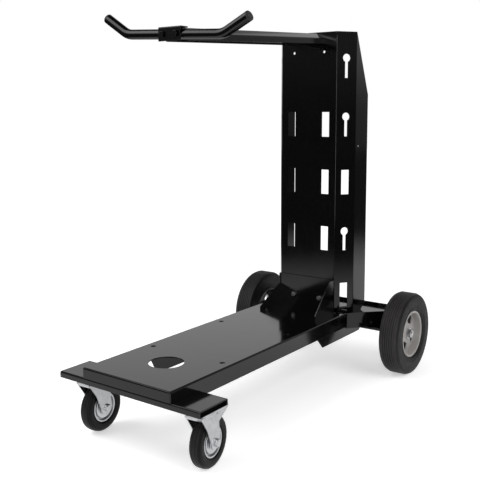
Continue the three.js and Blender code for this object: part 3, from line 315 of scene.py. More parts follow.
def turned(profile: Sequence[Pair], steps: int, closed: bool = False) -> bmesh.types.BMesh:
    """Turns a profile about the X axis.

    Args:
        profile: (radius, along) points.
        steps: faces round the axis.
        closed: whether the last point joins the first.

    Returns:
        The turned mesh.
    """
    mesh = bmesh.new()
    rings = []
    for radius, along in profile:
        count = 1 if radius < 1e-7 else steps
        angles = [2 * math.pi * (index + 0.5) / steps for index in range(count)]
        rings.append([mesh.verts.new((along, radius * math.sin(a), -radius * math.cos(a))) for a in angles])
    pairs = list(zip(rings, rings[1:]))
    if closed:
        pairs.append((rings[-1], rings[0]))
    for first, last in pairs:
        joined(mesh, first, last)
    bmesh.ops.recalc_face_normals(mesh, faces=mesh.faces)
    return mesh


def swept(path: Sequence[Vector], radius: float, sides: int) -> bmesh.types.BMesh:
    """Runs a round tube along a path that lies across the cart.

    Args:
        path: the points of its centre line, all at one Y.
        radius: the tube's radius.
        sides: faces round the tube.

    Returns:
        The tube's mesh, open at both ends.
    """
    mesh = bmesh.new()
    rings = []
    across = Vector((0.0, 1.0, 0.0))
    for index, centre in enumerate(path):
        before, after = path[max(index - 1, 0)], path[min(index + 1, len(path) - 1)]
        upward = (after - before).normalized().cross(across)
        angles = [2 * math.pi * side / sides for side in range(sides)]
        rings.append([mesh.verts.new(centre + (across * math.sin(a) + upward * math.cos(a)) * radius) for a in angles])
    for first, last in zip(rings, rings[1:]):
        joined(mesh, first, last)
    bmesh.ops.recalc_face_normals(mesh, faces=mesh.faces)
    return mesh


def hexagon(flats: float, first: float, last: float, bore: float = 0.0, chamfer_first: bool = True) -> bmesh.types.BMesh:
    """Makes a hexagon head or nut along X with turned-off corners.

    Args:
        flats: its width over flats.
        first: where it starts along X.
        last: where it ends.
        bore: the radius of its hole, or 0 for a solid head.
        chamfer_first: whether the first face has turned-off corners too.

    Returns:
        The mesh.
    """
    mesh = bmesh.new()
    sides = 48
    cuts = [0.0, 0.25, 0.55, 0.9, 1.3]

    def ring(along: float, depth: float) -> list[bmesh.types.BMVert]:
        """Returns one ring, no wider than the cone that turns the corners off at that depth."""
        verts = []
        for index in range(sides):
            angle = 2 * math.pi * index / sides
            fold = (angle + math.pi / 6) % (math.pi / 3) - math.pi / 6
            radius = min(flats / 2 / math.cos(fold), flats / 2 * 0.95 + depth * MM * 1.8)
            verts.append(mesh.verts.new((along, radius * math.sin(angle), radius * math.cos(angle))))
        return verts

    start = [(first + cut * MM, cut) for cut in cuts] if chamfer_first else [(first, 9.0)]
    end = [(last - cut * MM, cut) for cut in reversed(cuts)]
    rings = [ring(*place) for place in start + end]
    for one, other in zip(rings, rings[1:]):
        joined(mesh, one, other)
    if bore > 0:
        holes = []
        for along in (first, last):
            angles = [2 * math.pi * index / sides for index in range(sides)]
            holes.append([mesh.verts.new((along, bore * math.sin(a), bore * math.cos(a))) for a in angles])
        joined(mesh, rings[0], holes[0])
        joined(mesh, rings[-1], holes[1])
        joined(mesh, *holes)
    else:
        mesh.faces.new(rings[0])
        mesh.faces.new(rings[-1])
    bmesh.ops.recalc_face_normals(mesh, faces=mesh.faces)
    return mesh


def raised_rib(half: float, radius: float, rise: float) -> bmesh.types.BMesh:
    """Makes a long rounded rib that stands up along Z and rises along X.

    Args:
        half: half the distance between the centres of its round ends.
        radius: the radius of its ends.
        rise: how far it stands out.

    Returns:
        The closed mesh, whose foot lies just below X = 0.
    """
    mesh = bmesh.new()
    sides = 24
    rings = []
    for along, inset in ((-0.4 * MM, 0.0), (0.0, 0.0), (rise * 0.55, 0.2), (rise * 0.9, 0.5), (rise, 0.8)):
        ring = []
        for index in range(sides):
            angle = 2 * math.pi * (index + 0.5) / sides
            shift = half if math.cos(angle) > 0 else -half
            around = radius * (1 - inset)
            ring.append(mesh.verts.new((along, around * math.sin(angle), around * math.cos(angle) + shift)))
        rings.append(ring)
    for first, last in zip(rings, rings[1:]):
        joined(mesh, first, last)
    mesh.faces.new(rings[0])
    mesh.faces.new(rings[-1])
    bmesh.ops.recalc_face_normals(mesh, faces=mesh.faces)
    return mesh


def merged(*meshes: bmesh.types.BMesh) -> bmesh.types.BMesh:
    """Puts several meshes into one.

    Args:
        meshes: the meshes, which are freed.

    Returns:
        One mesh that holds them all.
    """
    whole = bmesh.new()
    for mesh in meshes:
        spare = bpy.data.meshes.new("spare")
        mesh.to_mesh(spare)
        mesh.free()
        whole.from_mesh(spare)
        bpy.data.meshes.remove(spare)
    return whole


def mean_width(face: bmesh.types.BMFace) -> float:
    """Returns a face's mean width, which is the sheet's thickness on a cut edge of a sheet."""
    return 2 * face.calc_area() / face.calc_perimeter()


def copied(node: str) -> bmesh.types.BMesh:
    """Returns a copy of a CAD node's mesh."""
    mesh = bmesh.new()
    mesh.from_mesh(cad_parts[node].data)
    bmesh.ops.remove_doubles(mesh, verts=mesh.verts, dist=1e-6)
    return mesh


def extruded(section: Sequence[Pair], first: float, last: float) -> bmesh.types.BMesh:
    """Runs a closed section along X.

    Args:
        section: its (y, z) corners in order.
        first: where it starts along X.
        last: where it ends.

    Returns:
        The closed mesh.
    """
    mesh = bmesh.new()
    ends = [[mesh.verts.new((x, y, z)) for y, z in section] for x in (first, last)]
    joined(mesh, *ends)
    for end in ends:
        mesh.faces.new(end)
    bmesh.ops.recalc_face_normals(mesh, faces=mesh.faces)
    return mesh


def folded(mesh: bmesh.types.BMesh, bend: float, sheet: float = SHEET) -> bmesh.types.BMesh:
    """Rounds the folds of a sheet, outside and inside.

    Args:
        mesh: the sheet with sharp folds.
        bend: the outer radius of its folds.
        sheet: the sheet's thickness.

    Returns:
        The same mesh, with round folds.
    """
    bmesh.ops.dissolve_limit(mesh, angle_limit=math.radians(0.6), verts=mesh.verts, edges=mesh.edges)
    for convex, radius in ((True, bend), (False, max(bend - sheet, 0.4 * MM))):
        groups: dict[int, list[bmesh.types.BMEdge]] = {}
        for edge in mesh.edges:
            if len(edge.link_faces) != 2 or edge.is_convex is not convex:
                continue
            angle = edge.calc_face_angle(0.0)
            if angle < math.radians(25) or edge.calc_length() < 4 * sheet:
                continue
            if min(mean_width(face) for face in edge.link_faces) > 1.6 * sheet:
                groups.setdefault(round(math.degrees(angle) / 5), []).append(edge)
        for step, edges in groups.items():
            alive = [edge for edge in edges if edge.is_valid]
            offset = radius * math.tan(math.radians(step * 5) / 2)
            bmesh.ops.bevel(mesh, geom=alive, offset=offset, offset_type="OFFSET", segments=5, profile=0.5,
                            affect="EDGES", clamp_overlap=True)
    return mesh


# Pieces and assemblies


@dataclass
class Piece:
    """One shown piece: a mesh that rides on a CAD body in place of some CAD nodes."""

    thing: bpy.types.Object
    slot: Slot

    def dress(self, palette: Palette) -> None:
        """Gives the piece its material."""
        self.thing.data.materials.clear()
        self.thing.data.materials.append(palette.get(self.slot))


@dataclass
class Assembly:
    """A group of pieces that are built and dressed together."""

    pieces: list[Piece] = field(default_factory=list)

    def show(self, node: str, body: str, slot: Slot, mesh: bmesh.types.BMesh, place: Matrix | None = None,
             edge: float = 0.0, crease: float = 35.0) -> bpy.types.Object:
        """Shows a mesh in place of a CAD node.

        Args:
            node: the CAD node that it stands for.
            body: the CAD body that it rides on.
            slot: its material slot.
            mesh: the mesh, which is freed.
            place: where it goes, if it isn't in the cart's frame yet.
            edge: how far sharp edges are broken, or 0.
            crease: the angle in degrees from which an edge shades as sharp.

        Returns:
            The new object.
        """
        if place is not None:
            mesh.transform(place)
        data = bpy.data.meshes.new(f"{node}_look")
        mesh.to_mesh(data)
        mesh.free()
        data.shade_smooth()
        data.set_sharp_from_angle(angle=math.radians(crease))
        thing = bpy.data.objects.new(f"{node}_look", data)
        bpy.context.scene.collection.objects.link(thing)
        if edge > 0:
            broken = thing.modifiers.new("broken_edges", "BEVEL")
            broken.width, broken.segments = edge, 2
            broken.limit_method, broken.angle_limit = "ANGLE", math.radians(crease)
            broken.harden_normals = True
        even = thing.modifiers.new("even_shading", "WEIGHTED_NORMAL")
        even.keep_sharp = True
        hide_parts(node)
        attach(thing, body)
        self.pieces.append(Piece(thing, slot))
        log.info("built %s on %s", node, body)
        return thing

    def build(self) -> None:
        """Builds the pieces; each assembly has its own way."""
        raise NotImplementedError

    def dress(self, palette: Palette) -> None:
        """Gives every piece its material."""
        for piece in self.pieces:
            piece.dress(palette)


@dataclass
class SheetFrame(Assembly):
    """The folded sheets: deck, ribs, channel, column, shoe, tray, carrier, arm and saddle."""

    bend: float = 4.2 * MM
    edge: float = 0.45 * MM
    end_recess: float = 12.0 * MM

    def channel(self) -> bmesh.types.BMesh:
        """Returns the caster channel, with a dished plug in each of its mouths."""
        low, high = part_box("caster_channel")
        inner = (low.y + SHEET, high.y - SHEET, high.z - SHEET)
        mouth = [(inner[0], low.z), (inner[0], inner[2]), (inner[1], inner[2]), (inner[1], low.z)]
        section = [(low.y, low.z), *mouth, (high.y, low.z), (high.y, high.z), (low.y, high.z)]
        sill = low.z + SHEET / 2
        foot = [(inner[0], low.z), (inner[1], low.z), (inner[1], sill), (inner[0], sill)]
        plugs = []
        for side in Side:
            face, rim = side.sign * (high.x - self.end_recess), side.sign * high.x
            plugs += [extruded(mouth, face - side.sign * SHEET, face), extruded(foot, face, rim)]
        return merged(folded(extruded(section, low.x, high.x), self.bend), *plugs)

    def build(self) -> None:
        """Rounds the folds and breaks the edges of every sheet."""
        nodes = ("deck_pan", "deck_rib_left", "deck_rib_right", "column", "column_shoe", "cylinder_tray",
                 "axle_carrier", "support_arm", "handle_saddle")
        sheets = {node: folded(copied(node), self.bend) for node in nodes}
        sheets["caster_channel"] = self.channel()
        for node, sheet in sheets.items():
            self.show(node, "frame", Slot.BLACK_PAINT, sheet, edge=self.edge, crease=30.0)


@dataclass
class Handle(Assembly):
    """The bent handle tube and its end caps."""

    radius: float = 12.5 * MM
    straight: float = 300.0 * MM
    end_span: float = 440.0 * MM
    end_rise: float = 38.5 * MM
    tilt: float = 3.0
    bend: float = 60.0 * MM
    dome: float = 5.0 * MM

    def line(self) -> list[Vector]:
        """Returns the tube's centre line from the left end to the right end."""
        tube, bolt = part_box("handle_bar"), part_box("handle_bolt_left")
        middle = Vector((0.0, (tube[0].y + tube[1].y) / 2, (bolt[0].z + bolt[1].z) / 2))
        half, end = self.straight / 2, self.end_span / 2
        outline = filleted([(-end, self.end_rise), (-half, 0.0, self.bend), (half, 0.0, self.bend),
                            (end, self.end_rise)], steps=16)
        turn = Matrix.Rotation(math.radians(self.tilt), 3, "Y")
        return [middle + turn @ Vector((a, 0.0, b)) for a, b in outline]

    def build(self) -> None:
        """Bends the tube and turns a cap for each end."""
        line = self.line()
        self.show("handle_bar", "frame", Slot.BLACK_PAINT, swept(line, self.radius, 40))
        for side in Side:
            tip, inner = (line[0], line[1]) if side is Side.LEFT else (line[-1], line[-2])
            outward = (tip - inner).normalized()
            place = Matrix.Translation(tip) @ outward.to_track_quat("X", "Z").to_matrix().to_4x4()
            profile = filleted([(self.radius * 0.8, -6 * MM), (self.radius * 0.8, 0.0), (self.radius, 0.0),
                                (self.radius, self.dome, 3.4 * MM), (0.0, self.dome)], steps=6)
            node = f"handle_cap_{side.value}"
            self.show(node, "frame", Slot.CAP_PLASTIC, turned(profile, 40), place, crease=50.0)


@dataclass
class Fasteners(Assembly):
    """Hexagon bolts and nuts of the saddle, the column shoe and the tray."""

    flats: float = 13.0 * MM
    head: float = 5.5 * MM
    nut: float = 6.5 * MM
    stem: float = 4.0 * MM
    splay: float = 45.0

    def bolt(self, shank: float) -> bmesh.types.BMesh:
        """Returns a bolt along X whose head stands on X = 0."""
        head = hexagon(self.flats, 0.0, self.head, chamfer_first=False)
        stem = turned(filleted([(0.0, -shank), (self.stem, -shank, 0.8 * MM), (self.stem, 0.0), (0.0, 0.0)]), 24)
        return merged(head, stem)

    def outward(self, node: str, side: Side) -> Vector:
        """Returns the way that a bolt's head points."""
        if node.startswith("tray"):
            turn = math.radians(self.splay)
            return Vector((side.sign * math.cos(turn), -math.sin(turn), 0.0))
        return Vector((0.0, -1.0, 0.0))

    def build(self) -> None:
        """Puts each bolt and nut where its CAD node is."""
        for side in Side:
            for group in ("handle", "shoe", "tray"):
                node = f"{group}_bolt_{side.value}"
                outward = self.outward(node, side)
                verts = [v.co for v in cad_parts[node].data.vertices]
                reach = [co.dot(outward) for co in verts]
                tip = max(reach)
                face = [co for co, far in zip(verts, reach) if far > tip - 1e-5]
                middle = sum(face, Vector()) / len(face)
                turn = outward.to_track_quat("X", "Z").to_matrix().to_4x4()
                seat = Matrix.Translation(middle - outward * self.head) @ turn
                shank = tip - min(reach) - self.head
                slot = Slot.ZINC_STEEL if group == "shoe" else Slot.BLACK_PAINT
                self.show(node, "frame", slot, self.bolt(shank), seat)
                if group == "handle":
                    continue
                other = f"{group}_nut_{side.value}"
                first = min(v.co.dot(outward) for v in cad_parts[other].data.vertices) - tip + self.head
                ring = hexagon(self.flats, first, first + self.nut, self.stem)
                self.show(other, "frame", slot, ring, seat)


@dataclass
class RearAxle(Assembly):
    """The plain axle with its turned ends."""

    def build(self) -> None:
        """Turns the axle with chamfered, grooved ends."""
        low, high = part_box("rear_axle")
        radius, reach = AXLE_RADIUS, high.x
        end = [(0.0, reach), (radius - 1.6 * MM, reach, 0.5 * MM), (radius, reach - 1.6 * MM)]
        for thread in range(4):
            along = reach - (2.2 + 1.6 * thread) * MM
            end += [(radius, along), (radius - 0.8 * MM, along - 0.8 * MM)]
        end.append((radius, reach - 9.0 * MM))
        right = filleted(end)
        profile = right + [(r, -x) for r, x in reversed(right)]
        place = Matrix.Translation((0.0, (low.y + high.y) / 2, (low.z + high.z) / 2))
        self.show("rear_axle", "frame", Slot.BRIGHT_STEEL, turned(profile, 40), place, crease=50.0)


@dataclass
class RearWheel(Assembly):
    """A rear wheel: ribbed tyre, dished rim with windows, bush, spacer, washer and nut."""

    side: Side = Side.RIGHT
    radius: float = 126.6 * MM
    wide: float = 32.0 * MM
    groove: float = 1.6 * MM
    grooves: tuple[float, ...] = (-14.0, -7.0, 0.0, 7.0, 14.0)
    windows: int = 4
    window_turn: float = 65.0
    window_span: float = 50.0
    disc: Pair = (25.0 * MM, 61.5 * MM)
    disc_face: float = 11.0 * MM
    disc_fall: float = 7.0 * MM
    window: Pair = (30.5 * MM, 59.5 * MM)
    hub_face: float = 13.0 * MM
    hub_back: float = -30.0 * MM
    bush: Pair = (8.3 * MM, 11.5 * MM)

    def name(self, part: str) -> str:
        """Returns the CAD node of a part of this wheel."""
        return f"rear_{self.side.value}_{part}"

    def place(self) -> Matrix:
        """Returns the wheel's place, with X pointing out from the cart."""
        low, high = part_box(self.name("tyre"))
        turn = Matrix.Rotation(0.0 if self.side is Side.RIGHT else math.pi, 4, "Z")
        return Matrix.Translation(((low.x + high.x) / 2, (low.y + high.y) / 2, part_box("rear_axle")[0].z + AXLE_RADIUS)) @ turn

    def tyre(self) -> bmesh.types.BMesh:
        """Returns the tyre: fine grooves in a flat tread, square shoulders and stepped sidewalls."""
        crown: list[Sequence[float]] = []
        for centre in self.grooves:
            x = centre * MM
            for shift, drop in ((-1.3, 0.0), (-0.7, self.groove), (0.7, self.groove), (1.3, 0.0)):
                crown.append((self.radius - drop, x + shift * MM, 0.3 * MM))
        wall: list[Sequence[float]] = [
            (self.radius, 20.0 * MM, 0.8 * MM), (self.radius - 1.2 * MM, 21.0 * MM, 0.6 * MM),
            (self.radius - 3.4 * MM, 28.4 * MM, 5.0 * MM), (self.radius - 12.0 * MM, 31.4 * MM, 4.0 * MM),
            (self.radius - 28 * MM, self.wide, 9.0 * MM), (87 * MM, 31.6 * MM, 2.0 * MM),
            (85.4 * MM, 30.0 * MM, 0.6 * MM), (84 * MM, 30.0 * MM, 0.6 * MM), (82.6 * MM, 31.2 * MM, 1.0 * MM),
            (79 * MM, 30.4 * MM, 1.4 * MM), (74.6 * MM, 25.0 * MM, 1.0 * MM), (72.4 * MM, 24.0 * MM),
            (68.4 * MM, 23.6 * MM)]
        other = [(r, -x, *rest) for r, x, *rest in reversed(wall)]
        return turned(filleted(other + crown + wall, steps=3), 128)

    def barrel(self) -> bmesh.types.BMesh:
        """Returns the rim's deep barrel, its lips and the hub."""
        foot = self.dish(self.disc[1])
        rim = filleted([
            (self.disc[1], foot), (64.7 * MM, foot - 0.8 * MM, 2.0 * MM), (64.9 * MM, 25.4 * MM, 2.0 * MM),
            (67.0 * MM, 27.0 * MM, 1.2 * MM), (72.0 * MM, 27.0 * MM, 1.6 * MM), (72.0 * MM, 24.0 * MM, 0.8 * MM),
            (67.7 * MM, 24.0 * MM, 1.0 * MM), (67.7 * MM, -24.0 * MM, 1.0 * MM), (72.0 * MM, -24.0 * MM, 0.8 * MM),
            (72.0 * MM, -27.0 * MM, 1.4 * MM), (64.7 * MM, -27.0 * MM, 1.4 * MM),
            (64.7 * MM, foot - 4.8 * MM, 2.0 * MM), (self.disc[1], foot - 4.0 * MM)])
        bore = self.bush[1] + 0.3 * MM
        hub = filleted([
            (self.disc[0], self.disc_face), (22.6 * MM, self.disc_face + 0.2 * MM, 1.0 * MM),
            (21.0 * MM, self.hub_face, 0.8 * MM), (bore, self.hub_face), (bore, self.hub_back),
            (21.0 * MM, self.hub_back, 1.4 * MM), (22.0 * MM, 5.0 * MM, 2.0 * MM), (self.disc[0], 7.0 * MM)])
        return merged(turned(rim, 128), turned(hub, 96))

    def dish(self, radius: float) -> float:
        """Returns how far out the domed disc stands at a radius."""
        share = (radius - self.disc[0]) / (self.disc[1] - self.disc[0])
        return self.disc_face - self.disc_fall * share * share

    def windowed(self) -> bmesh.types.BMesh:
        """Returns the dished disc with its rounded windows, each with a turned-in edge."""
        mesh = bmesh.new()
        per_side = 12
        middle = sum(self.window) / 2
        half_span, half_step = math.radians(self.window_span) / 2, math.pi / self.windows
        half_wide, half_high, corner = half_span * middle, (self.window[1] - self.window[0]) / 2, 5.0 * MM
        square = []
        for side in range(4):
            for step in range(per_side):
                along = 2 * step / per_side - 1
                square.append([(along, 1.0), (1.0, -along), (-along, -1.0), (-1.0, along)][side])

        def rounded(u: float, v: float) -> Pair:
            """Returns a point of the window's outline as an angle and a radius."""
            x, y = u * half_wide, v * half_high
            inner = (max(min(x, half_wide - corner), corner - half_wide), max(min(y, half_high - corner), corner - half_high))
            step = Vector((x - inner[0], y - inner[1]))
            if step.length > 1e-9:
                step = step.normalized() * corner
            return (inner[0] + step.x) / middle, middle + inner[1] + step.y

        for index in range(self.windows):
            turn = math.radians(self.window_turn) + index * 2 * half_step
            rings = []
            for share, drop in ((0.0, 0.0), (0.45, 0.0), (0.8, 0.0), (0.95, 0.2), (1.0, 1.0), (1.0, 4.5)):
                ring = []
                for u, v in square:
                    outer = (u * half_step, sum(self.disc) / 2 + v * (self.disc[1] - self.disc[0]) / 2)
                    edge = rounded(u, v)
                    angle = outer[0] * (1 - share) + edge[0] * share
                    radius = outer[1] * (1 - share) + edge[1] * share
                    x = self.dish(radius) - drop * MM
                    ring.append(mesh.verts.new((x, radius * math.cos(turn + angle), radius * math.sin(turn + angle))))
                rings.append(ring)
            for one, other in zip(rings, rings[1:]):
                joined(mesh, one, other)
        bmesh.ops.remove_doubles(mesh, verts=mesh.verts, dist=1e-6)
        bmesh.ops.recalc_face_normals(mesh, faces=mesh.faces)
        if sum(face.normal.x * face.calc_area() for face in mesh.faces) < 0:
            bmesh.ops.reverse_faces(mesh, faces=mesh.faces)
        return mesh

    def build(self) -> None:
        """Builds the wheel's pieces."""
        place, body = self.place(), f"rear_wheel_{self.side.value}"
        self.show(self.name("tyre"), body, Slot.REAR_TYRE, self.tyre(), place, crease=60.0)
        self.show(self.name("rim"), body, Slot.RIM_GREY, merged(self.barrel(), self.windowed()), place, crease=55.0)
        bore, sleeve = self.bush
        bush = filleted([(bore, self.hub_back), (sleeve, self.hub_back, 0.4 * MM), (sleeve, self.hub_face, 0.6 * MM),
                         (bore, self.hub_face)])
        self.show(self.name("sleeve"), body, Slot.BUSH_PLASTIC, turned(bush, 48, closed=True), place, crease=50.0)
        for part, slot in (("spacer", Slot.BLACK_PAINT), ("washer", Slot.ZINC_STEEL), ("nut", Slot.BRIGHT_STEEL)):
            low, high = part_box(self.name(part))
            ends = sorted((place.inverted() @ corner).x for corner in (low, high))
            outer = (high.z - low.z) / 2
            if part == "nut":
                mesh = hexagon(24.0 * MM, ends[0], ends[1], bore)
            else:
                mesh = turned(filleted([(bore, ends[0]), (outer, ends[0], 0.5 * MM), (outer, ends[1], 0.6 * MM),
                                        (bore, ends[1])]), 64, closed=True)
            self.show(self.name(part), "frame", slot, mesh, place, crease=50.0)


@dataclass
class Caster(Assembly):
    """A swivel caster: plate, race, kingpin, pressed fork, wheel and axle bolt."""

    side: Side = Side.RIGHT
    turns: tuple[float, float] = (3.0, 6.0)
    trail: float = 38.0 * MM
    axle_z: float = 63.1942 * MM
    cheek: float = 22.5 * MM
    rib: Pair = (17.0 * MM, 108.0 * MM)
    rivet: Pair = (43.0 * MM, 130.0 * MM)

    def name(self, part: str) -> str:
        """Returns the CAD node of a part of this caster."""
        return f"caster_{self.side.value}_{part}"

    def swivel(self) -> Matrix:
        """Returns the fork's frame: the kingpin's foot on the floor, turned as it is parked."""
        low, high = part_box(self.name("race"))
        turn = math.radians(self.turns[0] if self.side is Side.LEFT else self.turns[1])
        return Matrix.Translation(((low.x + high.x) / 2, (low.y + high.y) / 2, 0.0)) @ Matrix.Rotation(turn, 4, "Z")

    def tyre(self) -> bmesh.types.BMesh:
        """Returns the tyre with its flat crown, two moulded ridges and round shoulders."""
        radius = self.axle_z
        half: list[Sequence[float]] = [
            (radius, 1.2 * MM), (radius - 0.1 * MM, 3.6 * MM, 0.3 * MM), (radius - 0.8 * MM, 4.2 * MM, 0.3 * MM),
            (radius - 0.8 * MM, 5.2 * MM, 0.3 * MM), (radius - 0.3 * MM, 5.9 * MM, 0.4 * MM),
            (radius - 1.0 * MM, 10.0 * MM, 3.0 * MM), (radius - 5.5 * MM, 15.0 * MM, 3.0 * MM),
            (radius - 12 * MM, 16.0 * MM, 4.0 * MM), (42.5 * MM, 15.2 * MM, 2.0 * MM), (38.6 * MM, 11.6 * MM),
            (34.6 * MM, 10.6 * MM)]
        other = [(r, -x, *rest) for r, x, *rest in reversed(half)]
        return turned(filleted(other + half, steps=3), 112)

    def rim(self) -> bmesh.types.BMesh:
        """Returns the pressed rim: hub, raised disc, deep groove and rolled lips."""
        half: list[Sequence[float]] = [
            (7.9 * MM, 18.0 * MM), (13.0 * MM, 18.0 * MM, 1.6 * MM), (15.6 * MM, 13.9 * MM, 1.2 * MM),
            (21.0 * MM, 14.0 * MM, 1.0 * MM), (22.0 * MM, 13.4 * MM, 0.6 * MM), (28.2 * MM, 13.2 * MM, 2.4 * MM),
            (29.0 * MM, 6.0 * MM, 1.0 * MM), (31.8 * MM, 6.0 * MM, 1.0 * MM), (33.8 * MM, 13.6 * MM, 1.4 * MM),
            (37.6 * MM, 14.0 * MM, 1.2 * MM), (38.0 * MM, 11.4 * MM, 0.8 * MM), (34.0 * MM, 11.0 * MM)]
        other = [(r, -x, *rest) for r, x, *rest in reversed(half)]
        return turned(filleted(half + other, steps=4), 96, closed=True)

    def fork(self, swivel: Matrix) -> bmesh.types.BMesh:
        """Returns the pressed fork with a rib and a rivet on each cheek.

        Args:
            swivel: the fork's frame.

        Returns:
            The fork in the cart's frame.
        """
        extras = []
        for turn in (0.0, math.pi):
            for place, kind in ((self.rib, "rib"), (self.rivet, "rivet")):
                if kind == "rib":
                    extra = raised_rib(18.0 * MM, 3.2 * MM, 0.8 * MM)
                else:
                    extra = turned(filleted([(0.0, -0.4 * MM), (3.0 * MM, -0.4 * MM), (3.0 * MM, 0.7 * MM, 0.4 * MM),
                                             (1.6 * MM, 1.5 * MM, 0.6 * MM), (0.0, 1.6 * MM)]), 32)
                side = self.cheek if turn == 0.0 else -self.cheek
                extra.transform(swivel @ Matrix.Translation((side, *place)) @ Matrix.Rotation(turn, 4, "Z"))
                extras.append(extra)
        return merged(folded(copied(self.name("fork")), 4.6 * MM), *extras)

    def build(self) -> None:
        """Builds the caster's pieces."""
        swivel = self.swivel()
        hub = swivel @ Matrix.Translation((0.0, self.trail, self.axle_z))
        fork, wheel = f"caster_fork_{self.side.value}", f"caster_wheel_{self.side.value}"
        upright = swivel @ Matrix.Rotation(-math.pi / 2, 4, "Y")
        self.show(self.name("plate"), "frame", Slot.BLACK_PAINT, folded(copied(self.name("plate")), 2.0 * MM), edge=0.6 * MM)
        low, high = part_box(self.name("race"))
        middle = low.z + (high.z - low.z) * 0.5
        race = filleted([(8.3 * MM, low.z), (28.0 * MM, low.z, 1.0 * MM), (30.0 * MM, low.z + 1.6 * MM, 1.4 * MM),
                         (30.0 * MM, middle, 1.6 * MM), (28.4 * MM, middle + 0.4 * MM, 0.4 * MM),
                         (27.6 * MM, middle + 1.2 * MM, 0.6 * MM), (27.0 * MM, high.z, 1.4 * MM), (8.3 * MM, high.z)])
        self.show(self.name("race"), "frame", Slot.ZINC_STEEL, turned(race, 72, closed=True), upright, crease=50.0)
        low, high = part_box(self.name("kingpin"))
        pin = filleted([(0.0, low.z), (14.0 * MM, low.z, 2.4 * MM), (14.0 * MM, low.z + 6 * MM, 1.0 * MM),
                        (8.0 * MM, low.z + 6 * MM), (8.0 * MM, high.z), (0.0, high.z)])
        self.show(self.name("kingpin"), "frame", Slot.ZINC_STEEL, turned(pin, 48), upright, crease=50.0)
        self.show(self.name("fork"), fork, Slot.ZINC_STEEL, self.fork(swivel), edge=0.7 * MM)
        self.show(self.name("tyre"), wheel, Slot.CASTER_TYRE, self.tyre(), hub, crease=60.0)
        self.show(self.name("rim"), wheel, Slot.ZINC_STEEL, self.rim(), hub, crease=60.0)
        bush = filleted([(5.3 * MM, -18.0 * MM), (7.8 * MM, -18.0 * MM), (7.8 * MM, 18.0 * MM), (5.3 * MM, 18.0 * MM)])
        self.show(self.name("sleeve"), wheel, Slot.BRIGHT_STEEL, turned(bush, 40, closed=True), hub, crease=50.0)
        side = 22.8 * MM
        head = hexagon(16.5 * MM, side, side + 6.5 * MM, chamfer_first=False)
        stem = filleted([(0.0, -31.3 * MM), (5.0 * MM, -31.3 * MM, 0.8 * MM), (5.0 * MM, side), (0.0, side)])
        self.show(self.name("axle_bolt"), fork, Slot.ZINC_STEEL, merged(head, turned(stem, 32)), hub, crease=45.0)
        nut = hexagon(16.5 * MM, -side - 6.5 * MM, -side, 5.3 * MM)
        self.show(self.name("axle_nut"), fork, Slot.ZINC_STEEL, nut, hub, crease=45.0)


# Studio


@dataclass
class Lamp:
    """A large soft lamp; unless it is asked to, it doesn't show in the gloss."""

    name: str
    place: Colour
    target: Colour
    size: Pair
    power: float
    in_gloss: bool = False

    def build(self) -> None:
        """Hangs the lamp."""
        data = bpy.data.lights.new(self.name, "AREA")
        data.shape, data.energy = "RECTANGLE", self.power
        data.size, data.size_y = self.size
        thing = bpy.data.objects.new(self.name, data)
        thing.location = self.place
        way = Vector(self.target) - Vector(self.place)
        thing.rotation_euler = way.to_track_quat("-Z", "Y").to_euler()
        thing.visible_glossy = self.in_gloss
        bpy.context.scene.collection.objects.link(thing)


